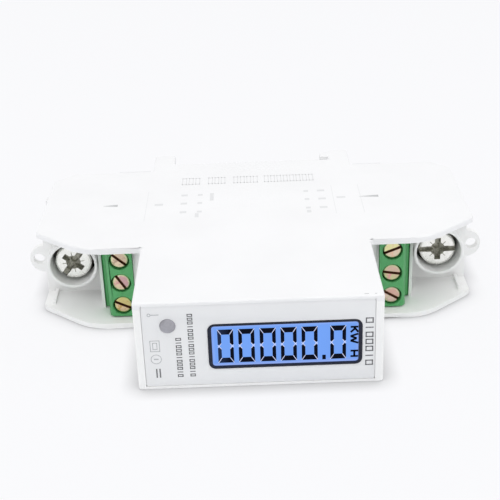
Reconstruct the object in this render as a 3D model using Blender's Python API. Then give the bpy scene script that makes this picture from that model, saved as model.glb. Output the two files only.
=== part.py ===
"""Energy meter for a DIN rail, one module wide, as an assembly of its real pieces.

The meter lies on one of its two large sides, as it does on a table. Sizes are in millimetres and
become metres in the mesh. Every piece is placed in the case's own axes, which hang on one empty:
x runs along the case from its middle, towards the end that is uppermost on a wall; y runs from
the front of the nose back to the rail; z runs across the module, from the side it lies on.
"""
import math

import bmesh
import bpy
from mathutils import Matrix, Vector

MM = 0.001
ARC_STEP_DEG = 15.0
SMALL_ARC_STEP_DEG = 30.0

# Case
MODULE_WIDTH = 18.0
NOSE_LENGTH = 45.0
NOSE_REACH = 23.0
SHOULDER_TO_RAIL = 44.0
WALL = 1.2
FRONT_WALL = 1.3
SEAM = 0.08
EDGE_ROUND = 0.3
CORNER_ROUND = 0.6
GAP = 0.3
CHEEK_SLOPE_DEG = 40.0
CHEEK_SLOPE_DEPTH = 8.9
CHEEK_BEND = 9.5
CHEEK_CORNER_ROUND = 1.5
END_CHAMFER = 4.0
BACK_BEFORE_RAIL = 4.0
PAST_CASE = 120.0
CUT_MARGIN = 1.0

# Rail seat, feet and clip
RAIL_SLOT = 35.5
RAIL_FLANGE_SLOT = 1.4
FOOT_WIDTH = 4.75
FOOT_REACH = 5.5
HOOK_CATCH = 1.85
HOOK_RELIEF = 0.3
HOOK_RELIEF_SLOPE = 0.4
HOOK_THICKNESS = 2.0
CLIP_WIDTH = 7.6
CLIP_THICKNESS = 2.6
CLIP_FLANGE = 1.0
CLIP_FLANGE_THICKNESS = 1.3
CLIP_STEM = 3.1
CLIP_SETBACK = 0.75
CLIP_CATCH = 2.8
CLIP_TAB_OVERHANG = 2.8
CLIP_TAB_SLOT = (2.2, 4.0)
CLIP_STROKE = 3.2

# Nose front
LABEL_THICKNESS = 0.45
LABEL_SEAT = 0.1
LABEL_LEFT_MARGIN = 1.6
LABEL_RIGHT_MARGIN = 1.7
LABEL_MARGIN = 0.8
LABEL_EDGE_GAP = 0.15
LABEL_TO_LED = 4.5
LED_TO_DISPLAY = 7.12
DISPLAY_TO_LABEL_EDGE = 2.27
DISPLAY_BOTTOM = 4.0
DISPLAY_TOP_MARGIN = 4.75
DISPLAY_CORNER = 1.2
BEZEL_FACE = 0.65
BEZEL_LEVEL_FACE = 0.4
BEZEL_LIP = 0.5
BEZEL_SKIRT = 0.2
BEZEL_FLANGE = 0.8
LCD_THICKNESS = 2.2
LCD_GAP = 0.1
BACKLIGHT_THICKNESS = 2.6
PULSE_LED_TOP_MARGIN = 4.75
PULSE_LED_RADIUS = 1.5
PULSE_LED_PROUD = 0.4

# Terminal recess
PARTITION_HEIGHT = 8.1
PARTITION_FIN = 0.6
POCKET_LIP_SETBACK = 0.5
POCKET_LIP_REACH = 2.15
POCKET_LIP_THICKNESS = 1.4
COLLAR_RADIUS = 5.3
COLLAR_BORE = 4.6
COLLAR_HEIGHT = 3.8
COLLAR_ROUND = 0.28
EAR_RADIUS = 3.0
EAR_OVERHANG = 0.1
EAR_HOLE_RADIUS = 1.2
EAR_HOLE_OFFSET = 1.1
EAR_THICKNESS = 1.5
RECESS_RIB_OFFSET = 4.3
RECESS_RIB_WIDTH = 0.7
RECESS_RIB_HEIGHT = 0.8
RECESS_RIB_LENGTH = 5.9

# Main terminals
SCREW_HEAD_RADIUS = 3.9
SCREW_HEAD_HEIGHT = 3.0
SCREW_HEAD_SINK = 1.65
SCREW_SHANK_RADIUS = 2.85
SCREW_SLOT_WIDTH = 1.15
SCREW_SLOT_DEPTH = 1.1
SCREW_CROSS_LENGTH = 4.9
SCREW_CROSS_WIDTH = 1.25
SCREW_CROSS_DEPTH = 1.7
CLAMP_LENGTH = 8.2
CLAMP_SIDE_WALL = 1.5
CLAMP_NUT_WALL = 2.0
CLAMP_FOOT_WALL = 1.5
CLAMP_TRAVEL = 5.0
CLAMP_HEADROOM = 0.6
CLAMP_SLACK = 0.4
CLAMP_OUTER_SLACK = 1.0
CLAMP_INNER_SLACK = 1.45
CLAMP_BACK_SLACK = 0.6
NUT_TO_BUSBAR = 0.5
WIRE_SPACE = 7.6
WIRE_DOOR_WIDTH = 10.0
WIRE_DOOR_ROUND = 2.0
BUSBAR_THICKNESS = 1.5
BUSBAR_WIDTH = 9.0
SHUNT_LENGTH = 16.0
SHUNT_NECK = 6.0
LEFT_SLOT_DEG = 52.0
RIGHT_SLOT_DEG = 0.0

# Signal terminal blocks
BLOCK_FACE_WALL = 0.3
BLOCK_INNER_WALL = 0.8
BLOCK_BACK_WALL = 1.85
BLOCK_LEDGE = 1.5
BLOCK_CHAMFER = 0.25
BLOCK_LEDGE_DEPTH = 4.5
POLE_PITCH = 5.08
POLE_HEAD_RADIUS = 1.85
POLE_HEAD_HEIGHT = 1.5
POLE_HEAD_SINK = 0.35
POLE_SHANK_RADIUS = 1.15
POLE_BORE_CLEARANCE = 0.2
POLE_SLOT_WIDTH = 0.55
POLE_SLOT_DEPTH = 0.6
POLE_CLAMP_LENGTH = 3.4
POLE_CLAMP_WIDTH = 3.5
POLE_CLAMP_WALL = 0.5
POLE_NUT_WALL = 1.2
POLE_TRAVEL = 2.2
POLE_WIRE_SPACE = 2.6
POLE_WIRE_DOOR = 3.0
CONTACT_THICKNESS = 0.6
CONTACT_WIDTH = 2.2
CONTACT_PIN_WIDTH = 1.2
PIN_PROUD = 1.2
BLOCK_ROOF = 0.7
LEFT_POLE_SLOTS_DEG = (-26.0, -58.0, -42.0)
RIGHT_POLE_SLOTS_DEG = (-32.0, -9.0, 21.0)

# Boards
BOARD_THICKNESS = 1.6
BOARD_SEAT = 0.1
HEADER_INSET = 1.6
HEADER_PITCH = 2.0
HEADER_BAR = 2.2
HEADER_PIN = 0.6
HEADER_PIN_PROUD = 0.2
PART_SPACING = 0.6
SMALL_GAP = 0.1
FILM_CAPACITOR_LEFT = 21.0
FILM_CAPACITOR = (17.0, 4.8, 11.0)
VARISTOR_X = 12.0
VARISTOR_RADIUS = 5.2
VARISTOR_THICKNESS = 4.2
RESERVOIR_LEFT = 21.0
RESERVOIR_RADIUS = 4.0
RESERVOIR_LENGTH = 12.0
INDUCTOR = (11.0, 7.6, 9.0)
FUSE_X = 17.0
FUSE_RADIUS = 1.4
FUSE_LENGTH = 7.6
LOGIC_BOARD_LIFT = 5.0
POWER_BOARD_LIFT = 2.0
POWER_BOARD_SETBACK = 1.6
BOARD_RIB = 0.9
STANDOFF_RADIUS = 1.3
STANDOFF_INSET = 3.0
STANDOFF_FRONT = 6.1
STANDOFF_BACK = 5.2
SHELF_WIDTH = 3.0
SHELF_LENGTH = 12.0
SHELF_INSET = 4.0
SHELF_SETBACK = 2.0

# Case screws
CASE_SCREW_TO_DISPLAY_BOARD = 3.0
CASE_SCREW_TO_BUSBAR = 1.3
CASE_SCREW_HEAD_RADIUS = 2.2
CASE_SCREW_HEAD_HEIGHT = 1.4
CASE_SCREW_SINK = 0.5
CASE_SCREW_RADIUS = 1.2
CASE_SCREW_LENGTH = 12.0
BOSS_WALL = 0.9
BOSS_SPLIT = 8.0

# Places that follow from the sizes above
HALF_NOSE = NOSE_LENGTH / 2
MIDDLE = MODULE_WIDTH / 2
COVER_BOTTOM = MODULE_WIDTH - WALL
BASE_TOP = COVER_BOTTOM - SEAM
NOSE_INSIDE = HALF_NOSE - WALL
FRONT_WALL_Y = LABEL_THICKNESS + 2 * LABEL_SEAT
NOSE_CAVITY_Y = FRONT_WALL_Y + FRONT_WALL

# Display, from the lamp to the label's right edge
LABEL_LEFT = LABEL_LEFT_MARGIN - HALF_NOSE
LABEL_RIGHT = HALF_NOSE - LABEL_RIGHT_MARGIN
PULSE_LED_X = LABEL_LEFT + LABEL_TO_LED
PULSE_LED_Z = MODULE_WIDTH - PULSE_LED_TOP_MARGIN
DISPLAY_LEFT = PULSE_LED_X + LED_TO_DISPLAY
DISPLAY_RIGHT = LABEL_RIGHT - DISPLAY_TO_LABEL_EDGE
DISPLAY_TOP = MODULE_WIDTH - DISPLAY_TOP_MARGIN
LCD_Y = BEZEL_LIP + LCD_GAP
BACKLIGHT_Y = LCD_Y + LCD_THICKNESS + GAP
DISPLAY_BOARD_Y = BACKLIGHT_Y + BACKLIGHT_THICKNESS + GAP
DISPLAY_BOARD_BACK_Y = DISPLAY_BOARD_Y + BOARD_THICKNESS

# Along the case, from the nose out to the end of the case
POLE_BORE = POLE_HEAD_RADIUS + POLE_BORE_CLEARANCE
BLOCK_FACE_INNER_X = HALF_NOSE + POCKET_LIP_REACH + GAP
POLE_X = BLOCK_FACE_INNER_X + BLOCK_FACE_WALL + POLE_BORE
BLOCK_FACE_OUTER_X = POLE_X + POLE_BORE + BLOCK_FACE_WALL
BLOCK_OUTER_X = BLOCK_FACE_OUTER_X + BLOCK_LEDGE
CONTACT_PIN_X = POLE_X - POLE_CLAMP_LENGTH / 2 - GAP - CONTACT_THICKNESS
POLE_CHAMBER_INNER_X = CONTACT_PIN_X - GAP
BLOCK_INNER_X = POLE_CHAMBER_INNER_X - BLOCK_INNER_WALL
BLOCK_LENGTH = COVER_BOTTOM - WALL - 2 * GAP
PARTITION_X = BLOCK_OUTER_X + GAP
PARTITION_OUTER = PARTITION_X + WALL
COLLAR_X = PARTITION_OUTER + CLAMP_INNER_SLACK + CLAMP_LENGTH / 2
CHAMBER_END = COLLAR_X + CLAMP_LENGTH / 2 + CLAMP_OUTER_SLACK
HALF_LENGTH = CHAMBER_END + WALL
EAR_CENTRE = HALF_LENGTH + EAR_OVERHANG
EAR_HOLE_X = EAR_CENTRE + EAR_HOLE_OFFSET
RECESS_RIB_X = COLLAR_X + RECESS_RIB_OFFSET
CLIP_TAB_REACH = HALF_LENGTH + CLIP_TAB_OVERHANG

# From the rail forward to the terminal decks
RAIL_Y = NOSE_REACH + SHOULDER_TO_RAIL
BACK_Y = RAIL_Y - BACK_BEFORE_RAIL
FOOT_Y = RAIL_Y + FOOT_REACH
FOOT_INNER = RAIL_SLOT / 2
FOOT_OUTER = FOOT_INNER + FOOT_WIDTH
DEPTH_CENTRE = (FOOT_Y - PULSE_LED_PROUD) / 2
CHEEK_CORNER_Y = NOSE_REACH + CHEEK_SLOPE_DEPTH
CHEEK_START = HALF_LENGTH - CHEEK_SLOPE_DEPTH / math.tan(math.radians(CHEEK_SLOPE_DEG))
CLIP_FRONT_Y = BACK_Y - CLIP_THICKNESS - GAP
CHANNEL_Y = CLIP_FRONT_Y - GAP
CHANNEL_WALL_Y = CHANNEL_Y - WALL
CLAMP_END_Y = CHANNEL_WALL_Y - CLAMP_BACK_SLACK
CLAMP_FOOT_Y = CLAMP_END_Y - CLAMP_FOOT_WALL
WIRE_Y = CLAMP_FOOT_Y - WIRE_SPACE
BUSBAR_Y = WIRE_Y - BUSBAR_THICKNESS
SHANK_END_Y = BUSBAR_Y - GAP
NUT_Y = BUSBAR_Y - NUT_TO_BUSBAR - CLAMP_NUT_WALL
DECK_BACK_Y = NUT_Y - CLAMP_TRAVEL - CLAMP_HEADROOM
DECK_Y = DECK_BACK_Y - WALL
RIM_Y = DECK_Y - COLLAR_HEIGHT
HEAD_Y = RIM_Y + SCREW_HEAD_SINK
HEAD_BACK_Y = HEAD_Y + SCREW_HEAD_HEIGHT
PARTITION_Y = DECK_Y - PARTITION_HEIGHT

# From the terminal board forward to the small blocks' faces
BOARD_FRONT_Y = DECK_Y + BOARD_SEAT + GAP
BOARD_BACK_Y = BOARD_FRONT_Y + BOARD_THICKNESS
BLOCK_BACK_Y = BOARD_FRONT_Y - GAP
POLE_END_Y = BLOCK_BACK_Y - BLOCK_BACK_WALL
POLE_FOOT_Y = POLE_END_Y - POLE_CLAMP_WALL
POLE_WIRE_Y = POLE_FOOT_Y - POLE_WIRE_SPACE
CONTACT_Y = POLE_WIRE_Y - CONTACT_THICKNESS
POLE_NUT_Y = CONTACT_Y - 2 * GAP - POLE_NUT_WALL
POLE_CHAMBER_Y = POLE_NUT_Y - POLE_TRAVEL - GAP
POLE_HEAD_BACK_Y = POLE_CHAMBER_Y - BLOCK_ROOF - GAP
POLE_HEAD_Y = POLE_HEAD_BACK_Y - POLE_HEAD_HEIGHT
BLOCK_FACE_Y = POLE_HEAD_Y - POLE_HEAD_SINK
BLOCK_SHOULDER_Y = BLOCK_FACE_Y + BLOCK_LEDGE_DEPTH
POCKET_LIP_Y = BLOCK_FACE_Y + POCKET_LIP_SETBACK

# Case screws, boards and what they leave free
BOSS_RADIUS = CASE_SCREW_RADIUS + GAP + BOSS_WALL
BOSS_FOOT_RADIUS = CASE_SCREW_HEAD_RADIUS + GAP + BOSS_WALL
CASE_SCREW_NOSE_Y = DISPLAY_BOARD_BACK_Y + CASE_SCREW_TO_DISPLAY_BOARD + BOSS_FOOT_RADIUS
CASE_SCREW_BACK_Y = WIRE_Y + CASE_SCREW_TO_BUSBAR + BOSS_FOOT_RADIUS
LOGIC_BOARD_HALF = NOSE_INSIDE - 2 * GAP - 2 * BOSS_RADIUS
LOGIC_BOARD_FRONT = DISPLAY_BOARD_BACK_Y + GAP
LOGIC_BOARD_BACK = BOARD_FRONT_Y - GAP
POWER_BOARD_HALF = PARTITION_X - 2 * GAP - BOSS_RADIUS - BOSS_FOOT_RADIUS
POWER_BOARD_FRONT = BOARD_BACK_Y + POWER_BOARD_SETBACK
POWER_BOARD_BACK = CHANNEL_WALL_Y - GAP
SIDES = (("left", -1), ("right", 1))

COLOURS = {
    "case_white": ((0.90, 0.90, 0.90), 0.42, 0.0),
    "label_grey": ((0.78, 0.79, 0.81), 0.35, 0.0),
    "bezel_black": ((0.015, 0.018, 0.03), 0.3, 0.0),
    "lcd_blue": ((0.18, 0.37, 0.95), 0.15, 0.0),
    "backlight_white": ((0.85, 0.87, 0.90), 0.5, 0.0),
    "led_grey": ((0.35, 0.35, 0.36), 0.2, 0.0),
    "block_green": ((0.06, 0.33, 0.12), 0.4, 0.0),
    "screw_zinc": ((0.72, 0.70, 0.66), 0.3, 1.0),
    "screw_brass": ((0.78, 0.62, 0.36), 0.35, 1.0),
    "clamp_steel": ((0.62, 0.62, 0.60), 0.4, 1.0),
    "copper": ((0.80, 0.45, 0.28), 0.35, 1.0),
    "shunt_alloy": ((0.55, 0.50, 0.45), 0.4, 1.0),
    "tinned": ((0.70, 0.70, 0.68), 0.35, 1.0),
    "board_green": ((0.03, 0.20, 0.09), 0.45, 0.0),
    "chip_black": ((0.03, 0.03, 0.03), 0.5, 0.0),
    "film_yellow": ((0.75, 0.55, 0.08), 0.4, 0.0),
    "sleeve_black": ((0.05, 0.05, 0.06), 0.35, 0.0),
    "varistor_blue": ((0.05, 0.15, 0.45), 0.4, 0.0),
    "ferrite_grey": ((0.16, 0.16, 0.17), 0.6, 0.0),
    "opto_white": ((0.80, 0.80, 0.78), 0.45, 0.0),
}


def clear_scene():
    for item in list(bpy.data.objects):
        bpy.data.objects.remove(item, do_unlink=True)


def make_collection(name):
    collection = bpy.data.collections.new(name)
    bpy.context.scene.collection.children.link(collection)
    return collection


def make_material(name):
    colour, roughness, metallic = COLOURS[name]
    material = bpy.data.materials.new(name)
    material.use_nodes = True
    shader = material.node_tree.nodes["Principled BSDF"]
    shader.inputs["Base Color"].default_value = (*colour, 1.0)
    shader.inputs["Roughness"].default_value = roughness
    shader.inputs["Metallic"].default_value = metallic
    return material


clear_scene()
PIECES = make_collection("din_rail_energy_meter")
CUTTERS = make_collection("cutters")
MATERIALS = {name: make_material(name) for name in COLOURS}
CASE = bpy.data.objects.new("case_axes", None)
CASE.location = (0.0, -DEPTH_CENTRE * MM, 0.0)
PIECES.objects.link(CASE)

TURN = {
    "X": Matrix(((0, 0, 1), (1, 0, 0), (0, 1, 0))).to_4x4(),
    "Y": Matrix(((1, 0, 0), (0, 0, -1), (0, 1, 0))).to_4x4(),
    "Z": Matrix.Identity(4),
}


def add_piece(name, bm, finish, place=(0, 0, 0)):
    """One object on the case's empty, or a cutter where no finish is named."""
    mesh = bpy.data.meshes.new(name)
    bm.to_mesh(mesh)
    bm.free()
    piece = bpy.data.objects.new(name, mesh)
    piece.parent = CASE
    piece.location = Vector(place) * MM
    if finish:
        mesh.materials.append(MATERIALS[finish])
        mesh.shade_smooth()
        mesh.set_sharp_from_angle(angle=math.radians(35))
        PIECES.objects.link(piece)
    else:
        piece.hide_render = True
        piece.display_type = "WIRE"
        CUTTERS.objects.link(piece)
    return piece


def shape(target, tool, operation="DIFFERENCE"):
    modifier = target.modifiers.new(tool.name, "BOOLEAN")
    modifier.operation = operation
    modifier.object = tool
    modifier.solver = target.get("solver", "EXACT")
    return target


def cut(target, *tools):
    for tool in tools:
        shape(target, tool)


def join(target, *tools):
    for tool in tools:
        shape(target, tool, "UNION")


def box(name, low, high, finish=None, bevel=0.0, origin=None):
    """A block between two corners, its edges bevelled where a width is given."""
    low, high = Vector(low), Vector(high)
    middle = (low + high) / 2
    origin = middle if origin is None else Vector(origin)
    bm = bmesh.new()
    bmesh.ops.create_cube(bm, size=1.0)
    bmesh.ops.scale(bm, vec=(high - low) * MM, verts=bm.verts)
    bmesh.ops.translate(bm, vec=(middle - origin) * MM, verts=bm.verts)
    if bevel:
        bmesh.ops.bevel(bm, geom=bm.edges[:], offset=bevel * MM, segments=1, profile=0.5,
                        affect="EDGES", material=-1)
    return add_piece(name, bm, finish, origin)


def cylinder(name, axis, start, end, radius, finish=None, end_radius=None, segments=24, bevel=0.0):
    """A round bar or cone between two points that lie along one axis."""
    start, end = Vector(start), Vector(end)
    bm = bmesh.new()
    bmesh.ops.create_cone(bm, cap_ends=True, segments=segments, radius1=radius * MM,
                          radius2=(radius if end_radius is None else end_radius) * MM,
                          depth=(end - start).length * MM)
    if bevel:
        rims = [edge for edge in bm.edges if abs(edge.verts[0].co.z - edge.verts[1].co.z) < 1e-7]
        bmesh.ops.bevel(bm, geom=rims, offset=bevel * MM, segments=1, profile=0.5,
                        affect="EDGES", material=-1)
    turn = TURN[axis] if axis != "Y" else Matrix.Rotation(math.radians(-90), 4, "X")
    bmesh.ops.transform(bm, matrix=turn, verts=bm.verts)
    return add_piece(name, bm, finish, (start + end) / 2)


def rounded(corners):
    """An outline through (u, v, radius) corners, with an arc at each corner that has a radius."""
    points = []
    for index, (u, v, radius) in enumerate(corners):
        corner = Vector((u, v))
        if not radius:
            points.append(corner)
            continue
        before = (Vector(corners[index - 1][:2]) - corner).normalized()
        after = (Vector(corners[(index + 1) % len(corners)][:2]) - corner).normalized()
        half = before.angle(after) / 2
        centre = corner + (before + after).normalized() * radius / math.sin(half)
        first = corner + before * radius / math.tan(half) - centre
        turn = math.copysign(math.pi - 2 * half, after.cross(before))
        step_deg = SMALL_ARC_STEP_DEG if radius < 1.0 else ARC_STEP_DEG
        steps = max(2, math.ceil(abs(math.degrees(turn)) / step_deg))
        for step in range(steps + 1):
            angle = turn * step / steps
            points.append(centre + Matrix.Rotation(angle, 2) @ first)
    return points


def rectangle(low_u, low_v, high_u, high_v, radius=0.0):
    return rounded([(low_u, low_v, radius), (high_u, low_v, radius),
                    (high_u, high_v, radius), (low_u, high_v, radius)])


def one_face_caps(bm):
    """Replaces the triangles of each flat end with one face."""
    flat = [face for face in bm.faces if abs(face.normal.z) > 0.99 or face.calc_area() < 1e-14]
    bmesh.ops.delete(bm, geom=flat, context="FACES")
    rims = [edge for edge in bm.edges if edge.is_boundary]
    bmesh.ops.holes_fill(bm, edges=rims, sides=0)
    bmesh.ops.recalc_face_normals(bm, faces=bm.faces)


def prism(name, outline, axis, low, high, finish=None, holes=(), place=(0, 0, 0)):
    """A flat outline given its thickness along one axis, as a filled curve made a mesh."""
    curve = bpy.data.curves.new(name, "CURVE")
    curve.dimensions = "2D"
    curve.fill_mode = "BOTH"
    curve.extrude = (high - low) / 2 * MM
    for loop in (outline, *holes):
        spline = curve.splines.new("POLY")
        spline.points.add(len(loop) - 1)
        for point, (u, v) in zip(spline.points, loop):
            point.co = (u * MM, v * MM, 0.0, 1.0)
        spline.use_cyclic_u = True
    guide = bpy.data.objects.new(name, curve)
    CUTTERS.objects.link(guide)
    depsgraph = bpy.context.evaluated_depsgraph_get()
    mesh = bpy.data.meshes.new_from_object(guide.evaluated_get(depsgraph))
    bm = bmesh.new()
    bm.from_mesh(mesh)
    bmesh.ops.remove_doubles(bm, verts=bm.verts, dist=1e-7)
    bpy.data.meshes.remove(mesh)
    bpy.data.objects.remove(guide)
    bpy.data.curves.remove(curve)
    if not holes:
        one_face_caps(bm)
    lift = Matrix.Translation((0.0, 0.0, (low + high) / 2 * (-1 if axis == "Y" else 1) * MM))
    bmesh.ops.transform(bm, matrix=TURN[axis] @ lift, verts=bm.verts)
    return add_piece(name, bm, finish, place)


def turned(name, axis_place, profile, finish=None, steps=32):
    """A turned piece on an axis along y, from (radius, y) points listed front to back."""
    bm = bmesh.new()
    points = [bm.verts.new((radius * MM, 0.0, -y * MM)) for radius, y in profile]
    for first, second in zip(points, points[1:]):
        bm.edges.new((first, second))
    bmesh.ops.spin(bm, geom=bm.verts[:] + bm.edges[:], cent=(0, 0, 0), axis=(0, 0, 1),
                   angle=math.tau, steps=steps, use_merge=True)
    bmesh.ops.remove_doubles(bm, verts=bm.verts, dist=1e-7)
    bmesh.ops.transform(bm, matrix=TURN["Y"], verts=bm.verts)
    bmesh.ops.recalc_face_normals(bm, faces=bm.faces)
    return add_piece(name, bm, finish, axis_place)


def round_rims(piece):
    """Rounds the edges round the two large faces."""
    bm = bmesh.new()
    bm.from_mesh(piece.data)
    rims = {edge for face in bm.faces if abs(face.normal.z) > 0.99 for edge in face.edges}
    bmesh.ops.bevel(bm, geom=list(rims), offset=EDGE_ROUND * MM, segments=2, profile=0.5,
                    affect="EDGES", material=-1)
    bm.to_mesh(piece.data)
    bm.free()


def side_outline():
    """The large sides: nose, sloped cheeks, ends, rail seat and feet, with the fixed hook."""
    half = [
        (HALF_NOSE, 0.0, CORNER_ROUND),
        (HALF_NOSE, NOSE_REACH, CORNER_ROUND),
        (CHEEK_START, NOSE_REACH, CHEEK_BEND),
        (HALF_LENGTH, CHEEK_CORNER_Y, CHEEK_CORNER_ROUND),
        (HALF_LENGTH, BACK_Y - END_CHAMFER, CORNER_ROUND),
        (HALF_LENGTH - END_CHAMFER, BACK_Y, CORNER_ROUND),
        (FOOT_OUTER, BACK_Y, CORNER_ROUND),
        (FOOT_OUTER, FOOT_Y, CORNER_ROUND),
    ]
    catch_y = RAIL_Y + RAIL_FLANGE_SLOT
    hook = [
        (FOOT_INNER + 1.0, FOOT_Y, CORNER_ROUND),
        (FOOT_INNER - HOOK_CATCH, catch_y + HOOK_THICKNESS, CORNER_ROUND),
        (FOOT_INNER - HOOK_CATCH, catch_y, 0.0),
        (FOOT_INNER, catch_y, 0.0),
    ]
    plain_foot = [(-FOOT_INNER, RAIL_Y, 0.0), (-FOOT_INNER, FOOT_Y, CORNER_ROUND)]
    mirrored = [(-x, y, radius) for x, y, radius in reversed(half)]
    relief_x = FOOT_INNER - HOOK_CATCH - HOOK_RELIEF
    relief = [
        (FOOT_INNER, RAIL_Y - HOOK_RELIEF, 0.0),
        (relief_x, RAIL_Y - HOOK_RELIEF, 0.0),
        (relief_x - HOOK_RELIEF_SLOPE, RAIL_Y, 0.0),
    ]
    return rounded(half + hook + relief + plain_foot + mirrored)


def case_block(name):
    """The case's whole outline as one block; corners that lie in line need the manifold solver."""
    block = prism(name, side_outline(), "Z", 0.0, MODULE_WIDTH, "case_white")
    block["solver"] = "MANIFOLD"
    round_rims(block)
    return block


def case_screw_places():
    for label, wall_x, y in (("nose", NOSE_INSIDE, CASE_SCREW_NOSE_Y),
                             ("back", PARTITION_X, CASE_SCREW_BACK_Y)):
        for side, sign in SIDES:
            yield f"{label}_{side}", sign * (wall_x - GAP - BOSS_RADIUS), y


def pole_heights():
    return [MIDDLE + (index - 1) * POLE_PITCH for index in range(3)]


def label_recess():
    margin = LABEL_MARGIN - LABEL_EDGE_GAP
    return box("label_recess", (LABEL_LEFT - LABEL_EDGE_GAP, -CUT_MARGIN, margin),
               (LABEL_RIGHT + LABEL_EDGE_GAP, FRONT_WALL_Y, MODULE_WIDTH - margin))


def display_window(grow, grow_level=None):
    level = grow if grow_level is None else grow_level
    return rectangle(DISPLAY_LEFT - grow, DISPLAY_BOTTOM - level, DISPLAY_RIGHT + grow,
                     DISPLAY_TOP + level, DISPLAY_CORNER + grow)


def build_base_shell():
    """The deep tray: one side, the walls round it, both terminal decks and the fixed feet."""
    shell = case_block("base_shell")
    cut(shell, box("above_base", (-PAST_CASE, -PAST_CASE, BASE_TOP),
                   (PAST_CASE, PAST_CASE, PAST_CASE)))
    cut(shell, prism("case_cavity", rounded([
        (NOSE_INSIDE, NOSE_CAVITY_Y, 0.5), (NOSE_INSIDE, DECK_Y, 0.0),
        (PARTITION_X, DECK_Y, 0.0), (PARTITION_X, BACK_Y - WALL, 0.5),
        (FOOT_INNER - WALL, BACK_Y - WALL, 0.0), (FOOT_INNER - WALL, RAIL_Y - WALL, 0.5),
        (-FOOT_INNER + WALL, RAIL_Y - WALL, 0.5), (-FOOT_INNER + WALL, CHANNEL_WALL_Y, 0.0),
        (-PARTITION_X, CHANNEL_WALL_Y, 0.5), (-PARTITION_X, DECK_Y, 0.0),
        (-NOSE_INSIDE, DECK_Y, 0.0), (-NOSE_INSIDE, NOSE_CAVITY_Y, 0.5),
    ]), "Z", WALL, PAST_CASE))
    for side, sign in SIDES:
        cut_terminal_end(shell, side, sign)
    cut(shell, label_recess())
    window_end = NOSE_CAVITY_Y + CUT_MARGIN
    cut(shell, prism("shell_display_window", display_window(LABEL_EDGE_GAP), "Y", -CUT_MARGIN,
                     window_end))
    cut(shell, cylinder("shell_led_hole", "Y", (PULSE_LED_X, -CUT_MARGIN, PULSE_LED_Z),
                        (PULSE_LED_X, window_end, PULSE_LED_Z), PULSE_LED_RADIUS + GAP))
    cut_clip_channel(shell)
    add_board_supports(shell)
    for name, x, y in case_screw_places():
        radius = CASE_SCREW_RADIUS + GAP
        head_seat = CASE_SCREW_SINK + CASE_SCREW_HEAD_HEIGHT + GAP
        join(shell, cylinder(f"base_boss_{name}", "Z", (x, y, WALL / 2), (x, y, BOSS_SPLIT),
                             BOSS_RADIUS, segments=16))
        join(shell, cylinder(f"base_boss_foot_{name}", "Z", (x, y, WALL / 2),
                             (x, y, head_seat + WALL), BOSS_FOOT_RADIUS, segments=20))
        cut(shell, cylinder(f"head_seat_{name}", "Z", (x, y, -CUT_MARGIN), (x, y, head_seat),
                            CASE_SCREW_HEAD_RADIUS + GAP, segments=20))
        cut(shell, cylinder(f"screw_way_{name}", "Z", (x, y, head_seat - GAP),
                            (x, y, BOSS_SPLIT + CUT_MARGIN), radius, segments=12))
    return shell


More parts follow.
